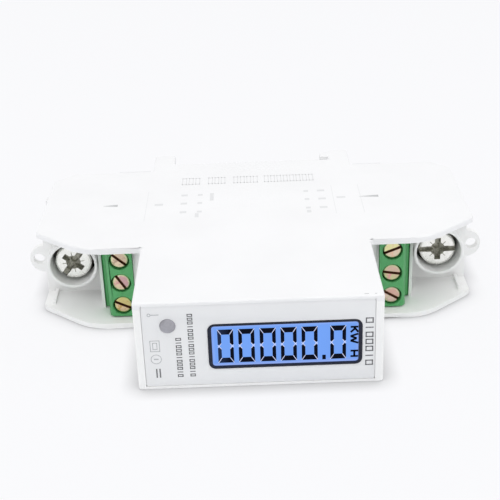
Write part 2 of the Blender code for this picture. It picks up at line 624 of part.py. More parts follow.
def cut_terminal_end(shell, side, sign):
    """The open recess, the clamp chamber behind its deck, the wire ways, collar, ear and rib."""
    before = min(NOSE_REACH, BLOCK_FACE_Y) - CUT_MARGIN
    end = EAR_CENTRE + EAR_RADIUS + CUT_MARGIN
    lip_x = HALF_NOSE + POCKET_LIP_REACH
    lip_back_y = POCKET_LIP_Y + POCKET_LIP_THICKNESS
    fin_x = PARTITION_X + PARTITION_FIN
    recess = [
        (HALF_NOSE, before), (HALF_NOSE, POCKET_LIP_Y), (lip_x, POCKET_LIP_Y), (lip_x, lip_back_y),
        (HALF_NOSE, lip_back_y), (HALF_NOSE, DECK_Y + CUT_MARGIN),
        (PARTITION_X, DECK_Y + CUT_MARGIN), (PARTITION_X, PARTITION_Y),
        (fin_x, PARTITION_Y), (fin_x, DECK_Y), (end, DECK_Y), (end, before),
    ]
    cut(shell, prism(f"recess_{side}", [(sign * x, y) for x, y in recess], "Z", WALL, PAST_CASE))
    if sign > 0:
        chamfer = END_CHAMFER + WALL / 2
        back = [(CHAMBER_END, BACK_Y - chamfer), (HALF_LENGTH - chamfer, BACK_Y - WALL),
                (PARTITION_OUTER, BACK_Y - WALL)]
    else:
        back = [(CHAMBER_END, CHANNEL_WALL_Y), (PARTITION_OUTER, CHANNEL_WALL_Y)]
    chamber = [(PARTITION_OUTER, DECK_BACK_Y), (CHAMBER_END, DECK_BACK_Y)] + back
    cut(shell, prism(f"chamber_{side}", [(sign * x, y) for x, y in chamber], "Z", WALL, PAST_CASE))
    busbar_half = BUSBAR_WIDTH / 2 + GAP
    inner, outer = sorted((sign * (PARTITION_X - GAP), sign * (PARTITION_OUTER + GAP)))
    cut(shell, box(f"busbar_window_{side}", (inner, BUSBAR_Y - GAP, MIDDLE - busbar_half),
                   (outer, WIRE_Y + GAP, MIDDLE + busbar_half)))
    for index, z in enumerate(pole_heights()):
        cut(shell, box(f"signal_wire_way_{side}_{index + 1}",
                       (inner, POLE_WIRE_Y - GAP, z - POLE_WIRE_DOOR / 2),
                       (outer, POLE_END_Y, z + POLE_WIRE_DOOR / 2)))
    door_half = WIRE_DOOR_WIDTH / 2
    door = rectangle(WIRE_Y - GAP, MIDDLE - door_half, CLAMP_FOOT_Y + GAP, MIDDLE + door_half,
                     WIRE_DOOR_ROUND)
    low, high = sorted((sign * (CHAMBER_END - CUT_MARGIN), sign * (HALF_LENGTH + CUT_MARGIN)))
    cut(shell, prism(f"wire_door_{side}", door, "X", low, high))
    collar_place = (sign * COLLAR_X, 0.0, MIDDLE)
    join(shell, turned(f"collar_{side}", collar_place, [
        (0.0, RIM_Y), (COLLAR_RADIUS - COLLAR_ROUND, RIM_Y),
        (COLLAR_RADIUS - COLLAR_ROUND * 0.3, RIM_Y + COLLAR_ROUND * 0.3),
        (COLLAR_RADIUS, RIM_Y + COLLAR_ROUND), (COLLAR_RADIUS, DECK_Y + WALL / 2),
        (0.0, DECK_Y + WALL / 2)]))
    cut(shell, turned(f"collar_bore_{side}", collar_place, [
        (0.0, RIM_Y - CUT_MARGIN), (COLLAR_BORE + COLLAR_ROUND + CUT_MARGIN, RIM_Y - CUT_MARGIN),
        (COLLAR_BORE + COLLAR_ROUND * 0.8, RIM_Y - 0.01),
        (COLLAR_BORE + COLLAR_ROUND * 0.25, RIM_Y + COLLAR_ROUND * 0.4),
        (COLLAR_BORE, RIM_Y + COLLAR_ROUND),
        (COLLAR_BORE, DECK_BACK_Y + GAP), (0.0, DECK_BACK_Y + GAP)]))
    ear_root = sign * (HALF_LENGTH - WALL / 2)
    ear = [(ear_root, MIDDLE - EAR_RADIUS)]
    for step in range(13):
        angle = math.radians(-90.0 + 15.0 * step)
        ear.append((sign * (EAR_CENTRE + EAR_RADIUS * math.cos(angle)),
                    MIDDLE + EAR_RADIUS * math.sin(angle)))
    ear.append((ear_root, MIDDLE + EAR_RADIUS))
    join(shell, prism(f"ear_{side}", ear, "Y", DECK_Y, DECK_Y + EAR_THICKNESS))
    cut(shell, cylinder(f"ear_hole_{side}", "Y", (sign * EAR_HOLE_X, DECK_Y - CUT_MARGIN, MIDDLE),
                        (sign * EAR_HOLE_X, DECK_Y + EAR_THICKNESS + CUT_MARGIN, MIDDLE),
                        EAR_HOLE_RADIUS, segments=20))
    join(shell, recess_rib(f"base_rib_{side}", sign, WALL / 2, WALL + RECESS_RIB_HEIGHT))


def recess_rib(name, sign, low_z, high_z):
    middle = sign * RECESS_RIB_X
    half = RECESS_RIB_WIDTH / 2
    return box(name, (middle - half, DECK_Y - RECESS_RIB_LENGTH, low_z),
               (middle + half, DECK_Y - GAP, high_z))


def cut_clip_channel(shell):
    """A T-shaped way for the rail clip, open at the left end and through the left foot."""
    start = -HALF_LENGTH - CUT_MARGIN
    narrow = CLIP_WIDTH / 2 + GAP
    wide = narrow + CLIP_FLANGE
    cut(shell, box("clip_way", (start, CHANNEL_Y, MIDDLE - narrow),
                   (GAP - FOOT_INNER, FOOT_Y + CUT_MARGIN, MIDDLE + narrow)))
    cut(shell, box("clip_flange_way", (start, CHANNEL_Y, MIDDLE - wide),
                   (-FOOT_OUTER - GAP, CLIP_FRONT_Y + CLIP_FLANGE_THICKNESS + GAP, MIDDLE + wide)))


def add_board_supports(shell):
    """Grooved ribs for the display board, and posts under the two lying boards."""
    for side, sign in SIDES:
        inner, outer = sorted((sign * (NOSE_INSIDE - BOARD_RIB), sign * (NOSE_INSIDE + WALL / 2)))
        for label, low in (("front", DISPLAY_BOARD_Y - GAP - BOARD_RIB),
                           ("back", DISPLAY_BOARD_BACK_Y + GAP)):
            join(shell, box(f"board_rib_{label}_{side}", (inner, low, WALL / 2),
                            (outer, low + BOARD_RIB, BASE_TOP - CUT_MARGIN)))
        x = sign * (LOGIC_BOARD_HALF - STANDOFF_INSET)
        for label, y in (("front", LOGIC_BOARD_FRONT + STANDOFF_FRONT),
                         ("back", LOGIC_BOARD_BACK - STANDOFF_BACK)):
            join(shell, cylinder(f"post_{label}_{side}", "Z", (x, y, WALL / 2),
                                 (x, y, LOGIC_BOARD_LIFT - GAP), STANDOFF_RADIUS, segments=12))
        x = sign * (POWER_BOARD_HALF - SHELF_INSET)
        low_y = POWER_BOARD_FRONT + SHELF_SETBACK
        join(shell, box(f"shelf_{side}", (x - SHELF_WIDTH / 2, low_y, WALL / 2),
                        (x + SHELF_WIDTH / 2, low_y + SHELF_LENGTH, POWER_BOARD_LIFT - GAP)))


def build_cover_shell():
    """The flat side that closes the tray, with its screw bosses and recess ribs."""
    shell = case_block("cover_shell")
    cut(shell, box("below_cover", (-PAST_CASE, -PAST_CASE, -PAST_CASE),
                   (PAST_CASE, PAST_CASE, COVER_BOTTOM)))
    cut(shell, label_recess())
    for name, x, y in case_screw_places():
        radius = CASE_SCREW_RADIUS + GAP
        join(shell, cylinder(f"cover_boss_{name}", "Z", (x, y, BOSS_SPLIT + GAP),
                             (x, y, COVER_BOTTOM + WALL / 2), BOSS_RADIUS, segments=16))
        top = CASE_SCREW_SINK + CASE_SCREW_LENGTH + GAP
        cut(shell, cylinder(f"cover_pilot_{name}", "Z", (x, y, BOSS_SPLIT - CUT_MARGIN),
                            (x, y, top), radius, segments=12))
    for side, sign in SIDES:
        join(shell, recess_rib(f"cover_rib_{side}", sign, COVER_BOTTOM - RECESS_RIB_HEIGHT,
                               COVER_BOTTOM + WALL / 2))
    return shell


def build_case_screws():
    for name, x, y in case_screw_places():
        head_top = CASE_SCREW_SINK + CASE_SCREW_HEAD_HEIGHT
        end = CASE_SCREW_SINK + CASE_SCREW_LENGTH
        screw = cylinder(f"case_screw_{name}", "Z", (x, y, CASE_SCREW_SINK), (x, y, head_top),
                         CASE_SCREW_HEAD_RADIUS, "screw_zinc", segments=20, bevel=0.25)
        join(screw, cylinder(f"case_screw_shank_{name}", "Z", (x, y, head_top - 0.5),
                             (x, y, end), CASE_SCREW_RADIUS, segments=12, bevel=0.3))
        for turn, (long, short) in enumerate(((2.4, 0.6), (0.6, 2.4))):
            cut(screw, box(f"case_screw_cross_{turn}_{name}",
                           (x - long / 2, y - short / 2, CASE_SCREW_SINK - 1.0),
                           (x + long / 2, y + short / 2, CASE_SCREW_SINK + 0.9)))


def build_nose_front():
    """Label plate, bezel, display cell, backlight, pulse lamp and the board behind them."""
    low, high = LABEL_MARGIN, MODULE_WIDTH - LABEL_MARGIN
    lamp_hole = [(PULSE_LED_X + (PULSE_LED_RADIUS + LABEL_EDGE_GAP) * math.cos(math.tau * k / 24),
                  PULSE_LED_Z + (PULSE_LED_RADIUS + LABEL_EDGE_GAP) * math.sin(math.tau * k / 24))
                 for k in range(24)]
    prism("front_label", rectangle(LABEL_LEFT, low, LABEL_RIGHT, high, 0.4), "Y", LABEL_SEAT,
          LABEL_SEAT + LABEL_THICKNESS, "label_grey", holes=(display_window(0.15), lamp_hole))
    bezel = prism("display_bezel", display_window(0.0), "Y", 0.0, NOSE_CAVITY_Y + GAP + 0.3,
                  "bezel_black")
    join(bezel, prism("bezel_flange", display_window(BEZEL_FLANGE), "Y", NOSE_CAVITY_Y + GAP,
                      NOSE_CAVITY_Y + GAP + 0.8))
    behind = NOSE_CAVITY_Y + BEZEL_FLANGE + CUT_MARGIN
    cut(bezel, prism("bezel_opening", display_window(-BEZEL_FACE, -BEZEL_LEVEL_FACE), "Y",
                     -CUT_MARGIN, behind))
    cut(bezel, prism("bezel_cavity", display_window(-BEZEL_SKIRT), "Y", BEZEL_LIP, behind))
    inner = display_window(-BEZEL_SKIRT - LCD_GAP)
    prism("lcd_cell", inner, "Y", LCD_Y, LCD_Y + LCD_THICKNESS, "lcd_blue")
    shrink = BEZEL_SKIRT + GAP
    box("lcd_backlight", (DISPLAY_LEFT + shrink, BACKLIGHT_Y, DISPLAY_BOTTOM + shrink),
        (DISPLAY_RIGHT - shrink, BACKLIGHT_Y + BACKLIGHT_THICKNESS, DISPLAY_TOP - shrink),
        "backlight_white", bevel=0.2)
    dome = [(0.0, -PULSE_LED_PROUD)]
    rise = PULSE_LED_RADIUS * 0.45
    for step in range(1, 6):
        angle = math.radians(18.0 * step)
        dome.append((PULSE_LED_RADIUS * math.sin(angle),
                     -PULSE_LED_PROUD + rise * (1 - math.cos(angle))))
    flange = PULSE_LED_RADIUS + 0.35
    back = DISPLAY_BOARD_Y - GAP
    turned("pulse_led", (PULSE_LED_X, 0.0, PULSE_LED_Z), dome + [
        (PULSE_LED_RADIUS, back - 1.0), (flange, back - 1.0), (flange, back), (0.0, back)],
        "led_grey", steps=24)
    side = NOSE_INSIDE - GAP
    prism("display_board", rectangle(-side, WALL + GAP, side, BASE_TOP - GAP, 0.5), "Y",
          DISPLAY_BOARD_Y, DISPLAY_BOARD_BACK_Y, "board_green")


def build_main_terminal(side, sign, slot_deg):
    """A rising clamp terminal: captive screw, steel clamp and the busbar it grips against."""
    axis = (sign * COLLAR_X, 0.0, MIDDLE)
    head = SCREW_HEAD_RADIUS
    screw = turned(f"main_screw_{side}", axis, [
        (0.0, HEAD_Y), (head - 0.35, HEAD_Y), (head, HEAD_Y + 0.3), (head, HEAD_BACK_Y),
        (SCREW_SHANK_RADIUS, HEAD_BACK_Y), (SCREW_SHANK_RADIUS, SHANK_END_Y - 0.6),
        (SCREW_SHANK_RADIUS - 0.6, SHANK_END_Y), (0.0, SHANK_END_Y)], "screw_zinc")
    cross = SCREW_CROSS_LENGTH / 2
    grooves = (
        ("slot", head + 1.0, SCREW_SLOT_WIDTH / 2, SCREW_SLOT_DEPTH),
        ("cross_a", cross, SCREW_CROSS_WIDTH / 2, SCREW_CROSS_DEPTH),
        ("cross_b", SCREW_CROSS_WIDTH / 2, cross, SCREW_CROSS_DEPTH),
    )
    for label, half_u, half_v, depth in grooves:
        groove = box(f"{label}_{side}", (-half_u, HEAD_Y - 1.0, -half_v),
                     (half_u, HEAD_Y + depth, half_v), origin=(0, 0, 0))
        groove.location = Vector(axis) * MM
        groove.rotation_euler = (0.0, math.radians(-slot_deg), 0.0)
        cut(screw, groove)
    cut(screw, cylinder(f"recess_cone_{side}", "Y", (axis[0], HEAD_Y - 0.5, MIDDLE),
                        (axis[0], HEAD_Y + 2.3, MIDDLE), 1.75, end_radius=0.5, segments=16))
    half_length = CLAMP_LENGTH / 2
    low_z, high_z = WALL + CLAMP_SLACK, COVER_BOTTOM - CLAMP_SLACK
    clamp = prism(f"main_clamp_{side}",
                  rectangle(NUT_Y, low_z, CLAMP_END_Y, high_z, 1.0), "X", -half_length, half_length,
                  "clamp_steel", place=(axis[0], 0.0, 0.0), holes=(rectangle(
                      NUT_Y + CLAMP_NUT_WALL, low_z + CLAMP_SIDE_WALL, CLAMP_FOOT_Y,
                      high_z - CLAMP_SIDE_WALL, 0.4),))
    cut(clamp, cylinder(f"main_thread_{side}", "Y", (axis[0], NUT_Y - 1.0, MIDDLE),
                        (axis[0], NUT_Y + CLAMP_NUT_WALL + 1.0, MIDDLE),
                        SCREW_SHANK_RADIUS + GAP))
    half_bar = BUSBAR_WIDTH / 2
    inner, outer = sorted((sign * (SHUNT_LENGTH / 2 + GAP), sign * (CHAMBER_END - CLAMP_SLACK)))
    box(f"busbar_{side}", (inner, BUSBAR_Y, MIDDLE - half_bar), (outer, WIRE_Y, MIDDLE + half_bar),
        "copper", bevel=0.15)


def build_shunt():
    """The resistance bridge between the busbars, waisted in the middle."""
    half, neck = BUSBAR_WIDTH / 2, SHUNT_NECK / 2
    reach = SHUNT_LENGTH / 2
    corners = [(-reach, -half, 0.0), (-reach * 0.6, -half, 0.4), (-reach * 0.4, -neck, 0.4),
               (reach * 0.4, -neck, 0.4), (reach * 0.6, -half, 0.4), (reach, -half, 0.0)]
    outline = rounded([(u, MIDDLE + v, radius) for u, v, radius in corners]
                      + [(u, MIDDLE - v, radius) for u, v, radius in reversed(corners)])
    prism("current_shunt", outline, "Y", BUSBAR_Y, WIRE_Y, "shunt_alloy")


def build_signal_block(side, sign, slots_deg):
    """A green three-pole block: housing, and for each pole a screw, a clamp and a contact."""
    low_z, high_z = MIDDLE - BLOCK_LENGTH / 2, MIDDLE + BLOCK_LENGTH / 2
    notch_y = POCKET_LIP_Y + POCKET_LIP_THICKNESS + GAP
    profile = [
        (BLOCK_FACE_INNER_X, BLOCK_FACE_Y), (BLOCK_FACE_OUTER_X - BLOCK_CHAMFER, BLOCK_FACE_Y),
        (BLOCK_FACE_OUTER_X, BLOCK_FACE_Y + BLOCK_CHAMFER),
        (BLOCK_FACE_OUTER_X, BLOCK_SHOULDER_Y), (BLOCK_OUTER_X - BLOCK_CHAMFER, BLOCK_SHOULDER_Y),
        (BLOCK_OUTER_X, BLOCK_SHOULDER_Y + BLOCK_CHAMFER),
        (BLOCK_OUTER_X, BLOCK_BACK_Y), (BLOCK_INNER_X, BLOCK_BACK_Y),
        (BLOCK_INNER_X, notch_y), (BLOCK_FACE_INNER_X, notch_y),
    ]
    block = prism(f"signal_block_{side}", [(sign * x, y) for x, y in profile], "Z", low_z, high_z,
                  "block_green")
    for index, (z, slot_deg) in enumerate(zip(pole_heights(), slots_deg)):
        build_pole(block, f"{side}_{index + 1}", sign, z, slot_deg)


def build_pole(block, name, sign, z, slot_deg):
    x = sign * POLE_X
    head_seat = POLE_HEAD_BACK_Y + GAP
    cut(block, cylinder(f"head_bore_{name}", "Y", (x, BLOCK_FACE_Y - CUT_MARGIN, z),
                        (x, head_seat, z), POLE_BORE))
    cut(block, cylinder(f"shank_bore_{name}", "Y", (x, head_seat - GAP, z),
                        (x, POLE_CHAMBER_Y + GAP, z), POLE_SHANK_RADIUS + GAP, segments=16))
    half_width = POLE_CLAMP_WIDTH / 2
    chamber_outer = POLE_X + POLE_CLAMP_LENGTH / 2 + GAP
    inner, outer = sorted((sign * POLE_CHAMBER_INNER_X, sign * chamber_outer))
    cut(block, box(f"clamp_chamber_{name}", (inner, POLE_CHAMBER_Y, z - half_width - GAP),
                   (outer, POLE_END_Y + GAP, z + half_width + GAP)))
    near, far = sorted((sign * (chamber_outer - GAP), sign * (BLOCK_OUTER_X + CUT_MARGIN)))
    cut(block, box(f"wire_door_{name}", (near, POLE_WIRE_Y, z - POLE_WIRE_DOOR / 2),
                   (far, POLE_FOOT_Y + GAP, z + POLE_WIRE_DOOR / 2)))
    pin_low, pin_high = sorted((sign * CONTACT_PIN_X, sign * (CONTACT_PIN_X + CONTACT_THICKNESS)))
    half_pin = CONTACT_PIN_WIDTH / 2
    cut(block, box(f"pin_way_{name}", (pin_low - GAP, POLE_END_Y - GAP, z - half_pin - GAP),
                   (pin_high + GAP, BLOCK_BACK_Y + CUT_MARGIN, z + half_pin + GAP)))

    screw = turned(f"signal_screw_{name}", (x, 0.0, z), [
        (0.0, POLE_HEAD_Y), (POLE_HEAD_RADIUS - 0.2, POLE_HEAD_Y),
        (POLE_HEAD_RADIUS, POLE_HEAD_Y + 0.2), (POLE_HEAD_RADIUS, POLE_HEAD_BACK_Y),
        (POLE_SHANK_RADIUS, POLE_HEAD_BACK_Y), (POLE_SHANK_RADIUS, CONTACT_Y - GAP),
        (0.0, CONTACT_Y - GAP)], "screw_brass", steps=20)
    slot = box(f"pole_slot_{name}", (-POLE_HEAD_RADIUS - 1, POLE_HEAD_Y - 1, -POLE_SLOT_WIDTH / 2),
               (POLE_HEAD_RADIUS + 1, POLE_HEAD_Y + POLE_SLOT_DEPTH, POLE_SLOT_WIDTH / 2),
               origin=(0, 0, 0))
    slot.location = Vector((x, 0.0, z)) * MM
    slot.rotation_euler = (0.0, math.radians(-slot_deg), 0.0)
    cut(screw, slot)

    half_length = POLE_CLAMP_LENGTH / 2
    clamp = prism(f"signal_clamp_{name}", rectangle(POLE_NUT_Y, -half_width, POLE_END_Y, half_width),
                  "X", -half_length, half_length, "clamp_steel", place=(x, 0.0, z),
                  holes=(rectangle(POLE_NUT_Y + POLE_NUT_WALL, -half_width + POLE_CLAMP_WALL,
                                   POLE_FOOT_Y, half_width - POLE_CLAMP_WALL),))
    cut(clamp, cylinder(f"pole_thread_{name}", "Y", (x, POLE_NUT_Y - 1.0, z),
                        (x, POLE_NUT_Y + POLE_NUT_WALL + 1.0, z), POLE_SHANK_RADIUS + GAP,
                        segments=16))
    strip_end = POLE_X + half_length
    inner, outer = sorted((sign * CONTACT_PIN_X, sign * strip_end))
    contact = box(f"signal_contact_{name}", (inner, CONTACT_Y, z - CONTACT_WIDTH / 2),
                  (outer, POLE_WIRE_Y, z + CONTACT_WIDTH / 2), "tinned")
    join(contact, box(f"contact_pin_{name}", (pin_low, (CONTACT_Y + POLE_WIRE_Y) / 2, z - half_pin),
                      (pin_high, BOARD_BACK_Y + PIN_PROUD, z + half_pin)))


def build_terminal_board():
    """The upright board that carries both signal blocks, drilled for their pins."""
    side = PARTITION_X - GAP
    board = prism("terminal_board", rectangle(-side, WALL + GAP, side, BASE_TOP - GAP, 0.4), "Y",
                  BOARD_FRONT_Y, BOARD_BACK_Y, "board_green")
    half_pin = CONTACT_PIN_WIDTH / 2 + GAP
    for label, sign in SIDES:
        low, high = sorted((sign * (CONTACT_PIN_X - GAP),
                            sign * (CONTACT_PIN_X + CONTACT_THICKNESS + GAP)))
        for index, z in enumerate(pole_heights()):
            cut(board, box(f"pin_hole_{label}_{index + 1}",
                           (low, BOARD_FRONT_Y - CUT_MARGIN, z - half_pin),
                           (high, BOARD_BACK_Y + CUT_MARGIN, z + half_pin)))


def build_logic_board():
    """The board in the nose, with the controller, the metering chip and the isolated outputs."""
    half = LOGIC_BOARD_HALF
    bottom, top = LOGIC_BOARD_LIFT, LOGIC_BOARD_LIFT + BOARD_THICKNESS
    prism("logic_board", rectangle(-half, LOGIC_BOARD_FRONT, half, LOGIC_BOARD_BACK, 0.4), "Z",
          bottom, top, "board_green")
    seat = top + GAP
    front_y = LOGIC_BOARD_FRONT + 2 * HEADER_INSET + PART_SPACING
    back_y = LOGIC_BOARD_BACK - 2 * HEADER_INSET - PART_SPACING
    for name, x, edge_y, towards, (length, depth, height), finish, bevel in (
            ("microcontroller", -4.0, front_y, 1, (10.0, 10.0, 1.5), "chip_black", 0.25),
            ("metering_chip", 8.5, front_y, 1, (7.6, 7.2, 1.9), "chip_black", 0.25),
            ("clock_crystal", -13.0, front_y, 1, (3.8, 10.0, 3.4), "tinned", 0.8),
            ("pulse_optocoupler", -10.0, back_y, -1, (4.6, 6.4, 3.5), "opto_white", 0.3),
            ("data_optocoupler", -2.0, back_y, -1, (4.6, 6.4, 3.5), "opto_white", 0.3),
            ("bus_transceiver", 7.5, back_y, -1, (5.0, 4.0, 1.6), "chip_black", 0.25)):
        low_y, high_y = sorted((edge_y, edge_y + towards * depth))
        box(name, (x - length / 2, low_y, seat), (x + length / 2, high_y, seat + height), finish,
            bevel=bevel)
    pin_header("display_header", (0.0, LOGIC_BOARD_FRONT + HEADER_INSET, seat), 6, -1)
    pin_header("board_header", (0.0, LOGIC_BOARD_BACK - HEADER_INSET, seat), 8, 1)


def pin_header(name, place, count, towards):
    """A strip of square pins in a black bar, the pins pointing along y."""
    x, y, z = place
    half, half_bar, half_pin = HEADER_PITCH * count / 2, HEADER_BAR / 2, HEADER_PIN / 2
    header = box(name, (x - half, y - half_bar, z), (x + half, y + half_bar, z + HEADER_BAR),
                 "chip_black")
    low, high = sorted((y, y + towards * (half_bar + HEADER_PIN_PROUD)))
    for index in range(count):
        pin_x = x + (index - (count - 1) / 2) * HEADER_PITCH
        join(header, box(f"{name}_pin_{index + 1}", (pin_x - half_pin, low, z + half_bar - half_pin),
                         (pin_x + half_pin, high, z + half_bar + half_pin)))


def build_power_board():
    """The board behind the terminal board, with the supply parts on both sides of the busbar."""
    half = POWER_BOARD_HALF
    bottom, top = POWER_BOARD_LIFT, POWER_BOARD_LIFT + BOARD_THICKNESS
    prism("power_board", rectangle(-half, POWER_BOARD_FRONT, half, POWER_BOARD_BACK, 0.4), "Z",
          bottom, top, "board_green")
    seat = top + GAP
    front_y = BUSBAR_Y - PART_SPACING
    back_y = WIRE_Y + PART_SPACING
    box("film_capacitor", (-FILM_CAPACITOR_LEFT, front_y - FILM_CAPACITOR[1], seat),
        (FILM_CAPACITOR[0] - FILM_CAPACITOR_LEFT, front_y, seat + FILM_CAPACITOR[2]), "film_yellow",
        bevel=0.4)
    axis_z = seat + VARISTOR_RADIUS + SMALL_GAP
    cylinder("varistor", "Y", (VARISTOR_X, front_y - VARISTOR_THICKNESS, axis_z),
             (VARISTOR_X, front_y, axis_z), VARISTOR_RADIUS, "varistor_blue", bevel=0.8)
    axis_y, axis_z = back_y + RESERVOIR_RADIUS, seat + RESERVOIR_RADIUS + SMALL_GAP
    cylinder("reservoir_capacitor", "X", (-RESERVOIR_LEFT, axis_y, axis_z),
             (RESERVOIR_LENGTH - RESERVOIR_LEFT, axis_y, axis_z), RESERVOIR_RADIUS, "sleeve_black",
             bevel=0.5)
    box("supply_inductor", (0.0, back_y, seat),
        (INDUCTOR[0], back_y + INDUCTOR[1], seat + INDUCTOR[2]), "ferrite_grey", bevel=0.4)
    axis_z = seat + FUSE_RADIUS + SMALL_GAP
    cylinder("fuse_resistor", "Y", (FUSE_X, back_y, axis_z), (FUSE_X, back_y + FUSE_LENGTH, axis_z),
             FUSE_RADIUS, "opto_white", segments=16, bevel=0.4)


def build_rail_clip():
    """The sliding clip: a tab with a screwdriver slot, a flanged bar, a stem and a wedge catch."""
    half = CLIP_WIDTH / 2
    front, back = CLIP_FRONT_Y, CLIP_FRONT_Y + CLIP_THICKNESS
    stem = -FOOT_INNER - CLIP_SETBACK
    catch_y = RAIL_Y + RAIL_FLANGE_SLOT
    tip = stem + CLIP_CATCH
    outline = rounded([
        (-CLIP_TAB_REACH, front, 0.5), (stem, front, 0.5), (stem, catch_y, 0.0),
        (tip, catch_y, 0.3), (tip, catch_y + 0.8, 0.3), (stem + 0.3, catch_y + 2.4, 0.4),
        (stem - CLIP_STEM, catch_y + 2.4, 0.6), (stem - CLIP_STEM, back, 0.6),
        (-CLIP_TAB_REACH, back, 0.5),
    ])
    clip = prism("rail_clip", outline, "Z", MIDDLE - half, MIDDLE + half, "case_white")
    flange = half + CLIP_FLANGE
    join(clip, box("clip_flange", (-HALF_LENGTH + END_CHAMFER, front, MIDDLE - flange),
                   (-FOOT_OUTER - CLIP_STROKE - 1.0, front + CLIP_FLANGE_THICKNESS,
                    MIDDLE + flange)))
    slot_x, slot_z = CLIP_TAB_SLOT
    slot_low = -CLIP_TAB_REACH + 1.2
    cut(clip, prism("clip_slot", rectangle(slot_low, MIDDLE - slot_z / 2, slot_low + slot_x,
                                           MIDDLE + slot_z / 2, 0.5), "Y", front - 1, back + 1))


build_base_shell()
build_cover_shell()
build_case_screws()
build_nose_front()
build_main_terminal("left", -1, LEFT_SLOT_DEG)
build_main_terminal("right", 1, RIGHT_SLOT_DEG)
build_shunt()
build_signal_block("left", -1, LEFT_POLE_SLOTS_DEG)
build_signal_block("right", 1, RIGHT_POLE_SLOTS_DEG)
build_terminal_board()
build_logic_board()
build_power_board()
build_rail_clip()
bpy.context.view_layer.update()
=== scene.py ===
"""Dresses a slim rail-mounted energy meter: finishes, print, display, lamp and screws.

Places are given in millimetres in the meter's own directions: along the case (x, from its middle),
behind the front of its nose (depth) and up from the hidden large side (height). Lengths in the
settings are real lengths in Blender's own unit.
"""
import math

import bmesh
import bpy
from bpy.props import FloatProperty, FloatVectorProperty, IntProperty, PointerProperty
from bpy.types import Operator, Panel, PropertyGroup
from mathutils import Matrix, Vector


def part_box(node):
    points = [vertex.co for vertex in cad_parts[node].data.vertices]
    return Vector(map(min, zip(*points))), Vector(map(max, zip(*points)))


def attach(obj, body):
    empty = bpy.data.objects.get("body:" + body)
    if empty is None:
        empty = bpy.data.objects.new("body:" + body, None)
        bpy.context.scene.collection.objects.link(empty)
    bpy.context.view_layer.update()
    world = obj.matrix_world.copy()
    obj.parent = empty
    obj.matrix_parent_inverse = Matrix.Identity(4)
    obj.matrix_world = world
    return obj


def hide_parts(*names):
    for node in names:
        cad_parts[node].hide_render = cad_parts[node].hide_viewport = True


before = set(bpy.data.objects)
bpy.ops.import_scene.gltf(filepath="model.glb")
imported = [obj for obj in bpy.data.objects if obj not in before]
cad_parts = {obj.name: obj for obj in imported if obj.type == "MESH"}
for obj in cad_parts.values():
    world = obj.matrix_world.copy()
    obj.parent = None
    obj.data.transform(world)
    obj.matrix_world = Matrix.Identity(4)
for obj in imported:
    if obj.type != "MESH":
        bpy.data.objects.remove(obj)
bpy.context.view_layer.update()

bl_info = {
    "name": "Rail energy meter dressing",
    "version": (1, 0, 0),
    "blender": (4, 5, 0),
    "location": "3D View > Sidebar > Meter",
    "description": "Finishes, print, display, lamp and screws of a slim rail-mounted energy meter",
    "category": "Object",
}

MM = 0.001
CASE = "case"
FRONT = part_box("base_shell")[0].y
SIDE_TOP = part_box("cover_shell")[1].z / MM
MIDDLE_HEIGHT = SIDE_TOP / 2
ORIGIN = (0.0, 0.0, 0.0)
MERGE_DISTANCE = 1e-7
CLOSE = 0.01
FLAT_ANGLE = 0.5
FOLD_ANGLE = 150.0
EVEN_WEIGHT = 80
INK_FOOT = 0.02
SIDES = {"left": -1, "right": 1}
POLES = (1, 2, 3)


# Places and simple solids


def spot(x, depth, height):
    """A point from its millimetres along the case, behind the nose's front and up."""
    return Vector((x * MM, FRONT + depth * MM, height * MM))


def millimetres(node):
    """A CAD node's lowest and highest corners as (x, depth, height) in millimetres."""
    return [(corner.x / MM, (corner.y - FRONT) / MM, corner.z / MM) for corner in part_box(node)]


def round_part(node):
    """A round CAD node's axis across and up, its radius, and the depths of its two ends."""
    (x0, front, h0), (x1, back, h1) = millimetres(node)
    return (x0 + x1) / 2, (h0 + h1) / 2, (x1 - x0) / 2, front, back


def add_box(bm, centre, size, turn=Matrix()):
    """A box of a size in metres about a centre; returns its vertices."""
    matrix = Matrix.Translation(centre) @ turn @ Matrix.Diagonal((*size, 1.0))
    return bmesh.ops.create_cube(bm, size=1.0, matrix=matrix)["verts"]


def add_block(bm, low, high):
    """A box between two (x, depth, height) corners; returns its vertices."""
    first, last = spot(*low), spot(*high)
    return add_box(bm, (first + last) / 2, last - first)


def add_stroke(bm, start, end, width, near, far):
    """A flat bar on the nose's front between two (x, height) points."""
    first, last = Vector(start), Vector(end)
    run = last - first
    centre = (first + last) / 2
    add_box(bm, spot(centre.x, (near + far) / 2, centre.y),
            Vector((run.length, far - near, width)) * MM,
            Matrix.Rotation(-math.atan2(run.y, run.x), 4, "Y"))


def spin_profile(bm, points, centre, axis, steps):
    """Turns a chain of points once about an axis through a centre."""
    verts = [bm.verts.new(point) for point in points]
    edges = [bm.edges.new(pair) for pair in zip(verts, verts[1:])]
    bmesh.ops.spin(bm, geom=verts + edges, cent=centre, axis=axis, dvec=(0.0, 0.0, 0.0),
                   angle=math.tau, steps=steps, use_merge=True, use_duplicate=False)
    bmesh.ops.remove_doubles(bm, verts=bm.verts, dist=MERGE_DISTANCE)


def add_turned(bm, profile, x, height, steps):
    """A profile of (radius, depth) points turned about an axis along the depth."""
    spin_profile(bm, [spot(x + radius, depth, height) for radius, depth in profile],
                 spot(x, 0.0, height), (0.0, 1.0, 0.0), steps)


# Pieces


def merge_flat_faces(bm):
    """Joins neighbouring faces that lie in one plane."""
    bmesh.ops.dissolve_limit(bm, angle_limit=math.radians(FLAT_ANGLE),
                             use_dissolve_boundaries=False, verts=bm.verts, edges=bm.edges)


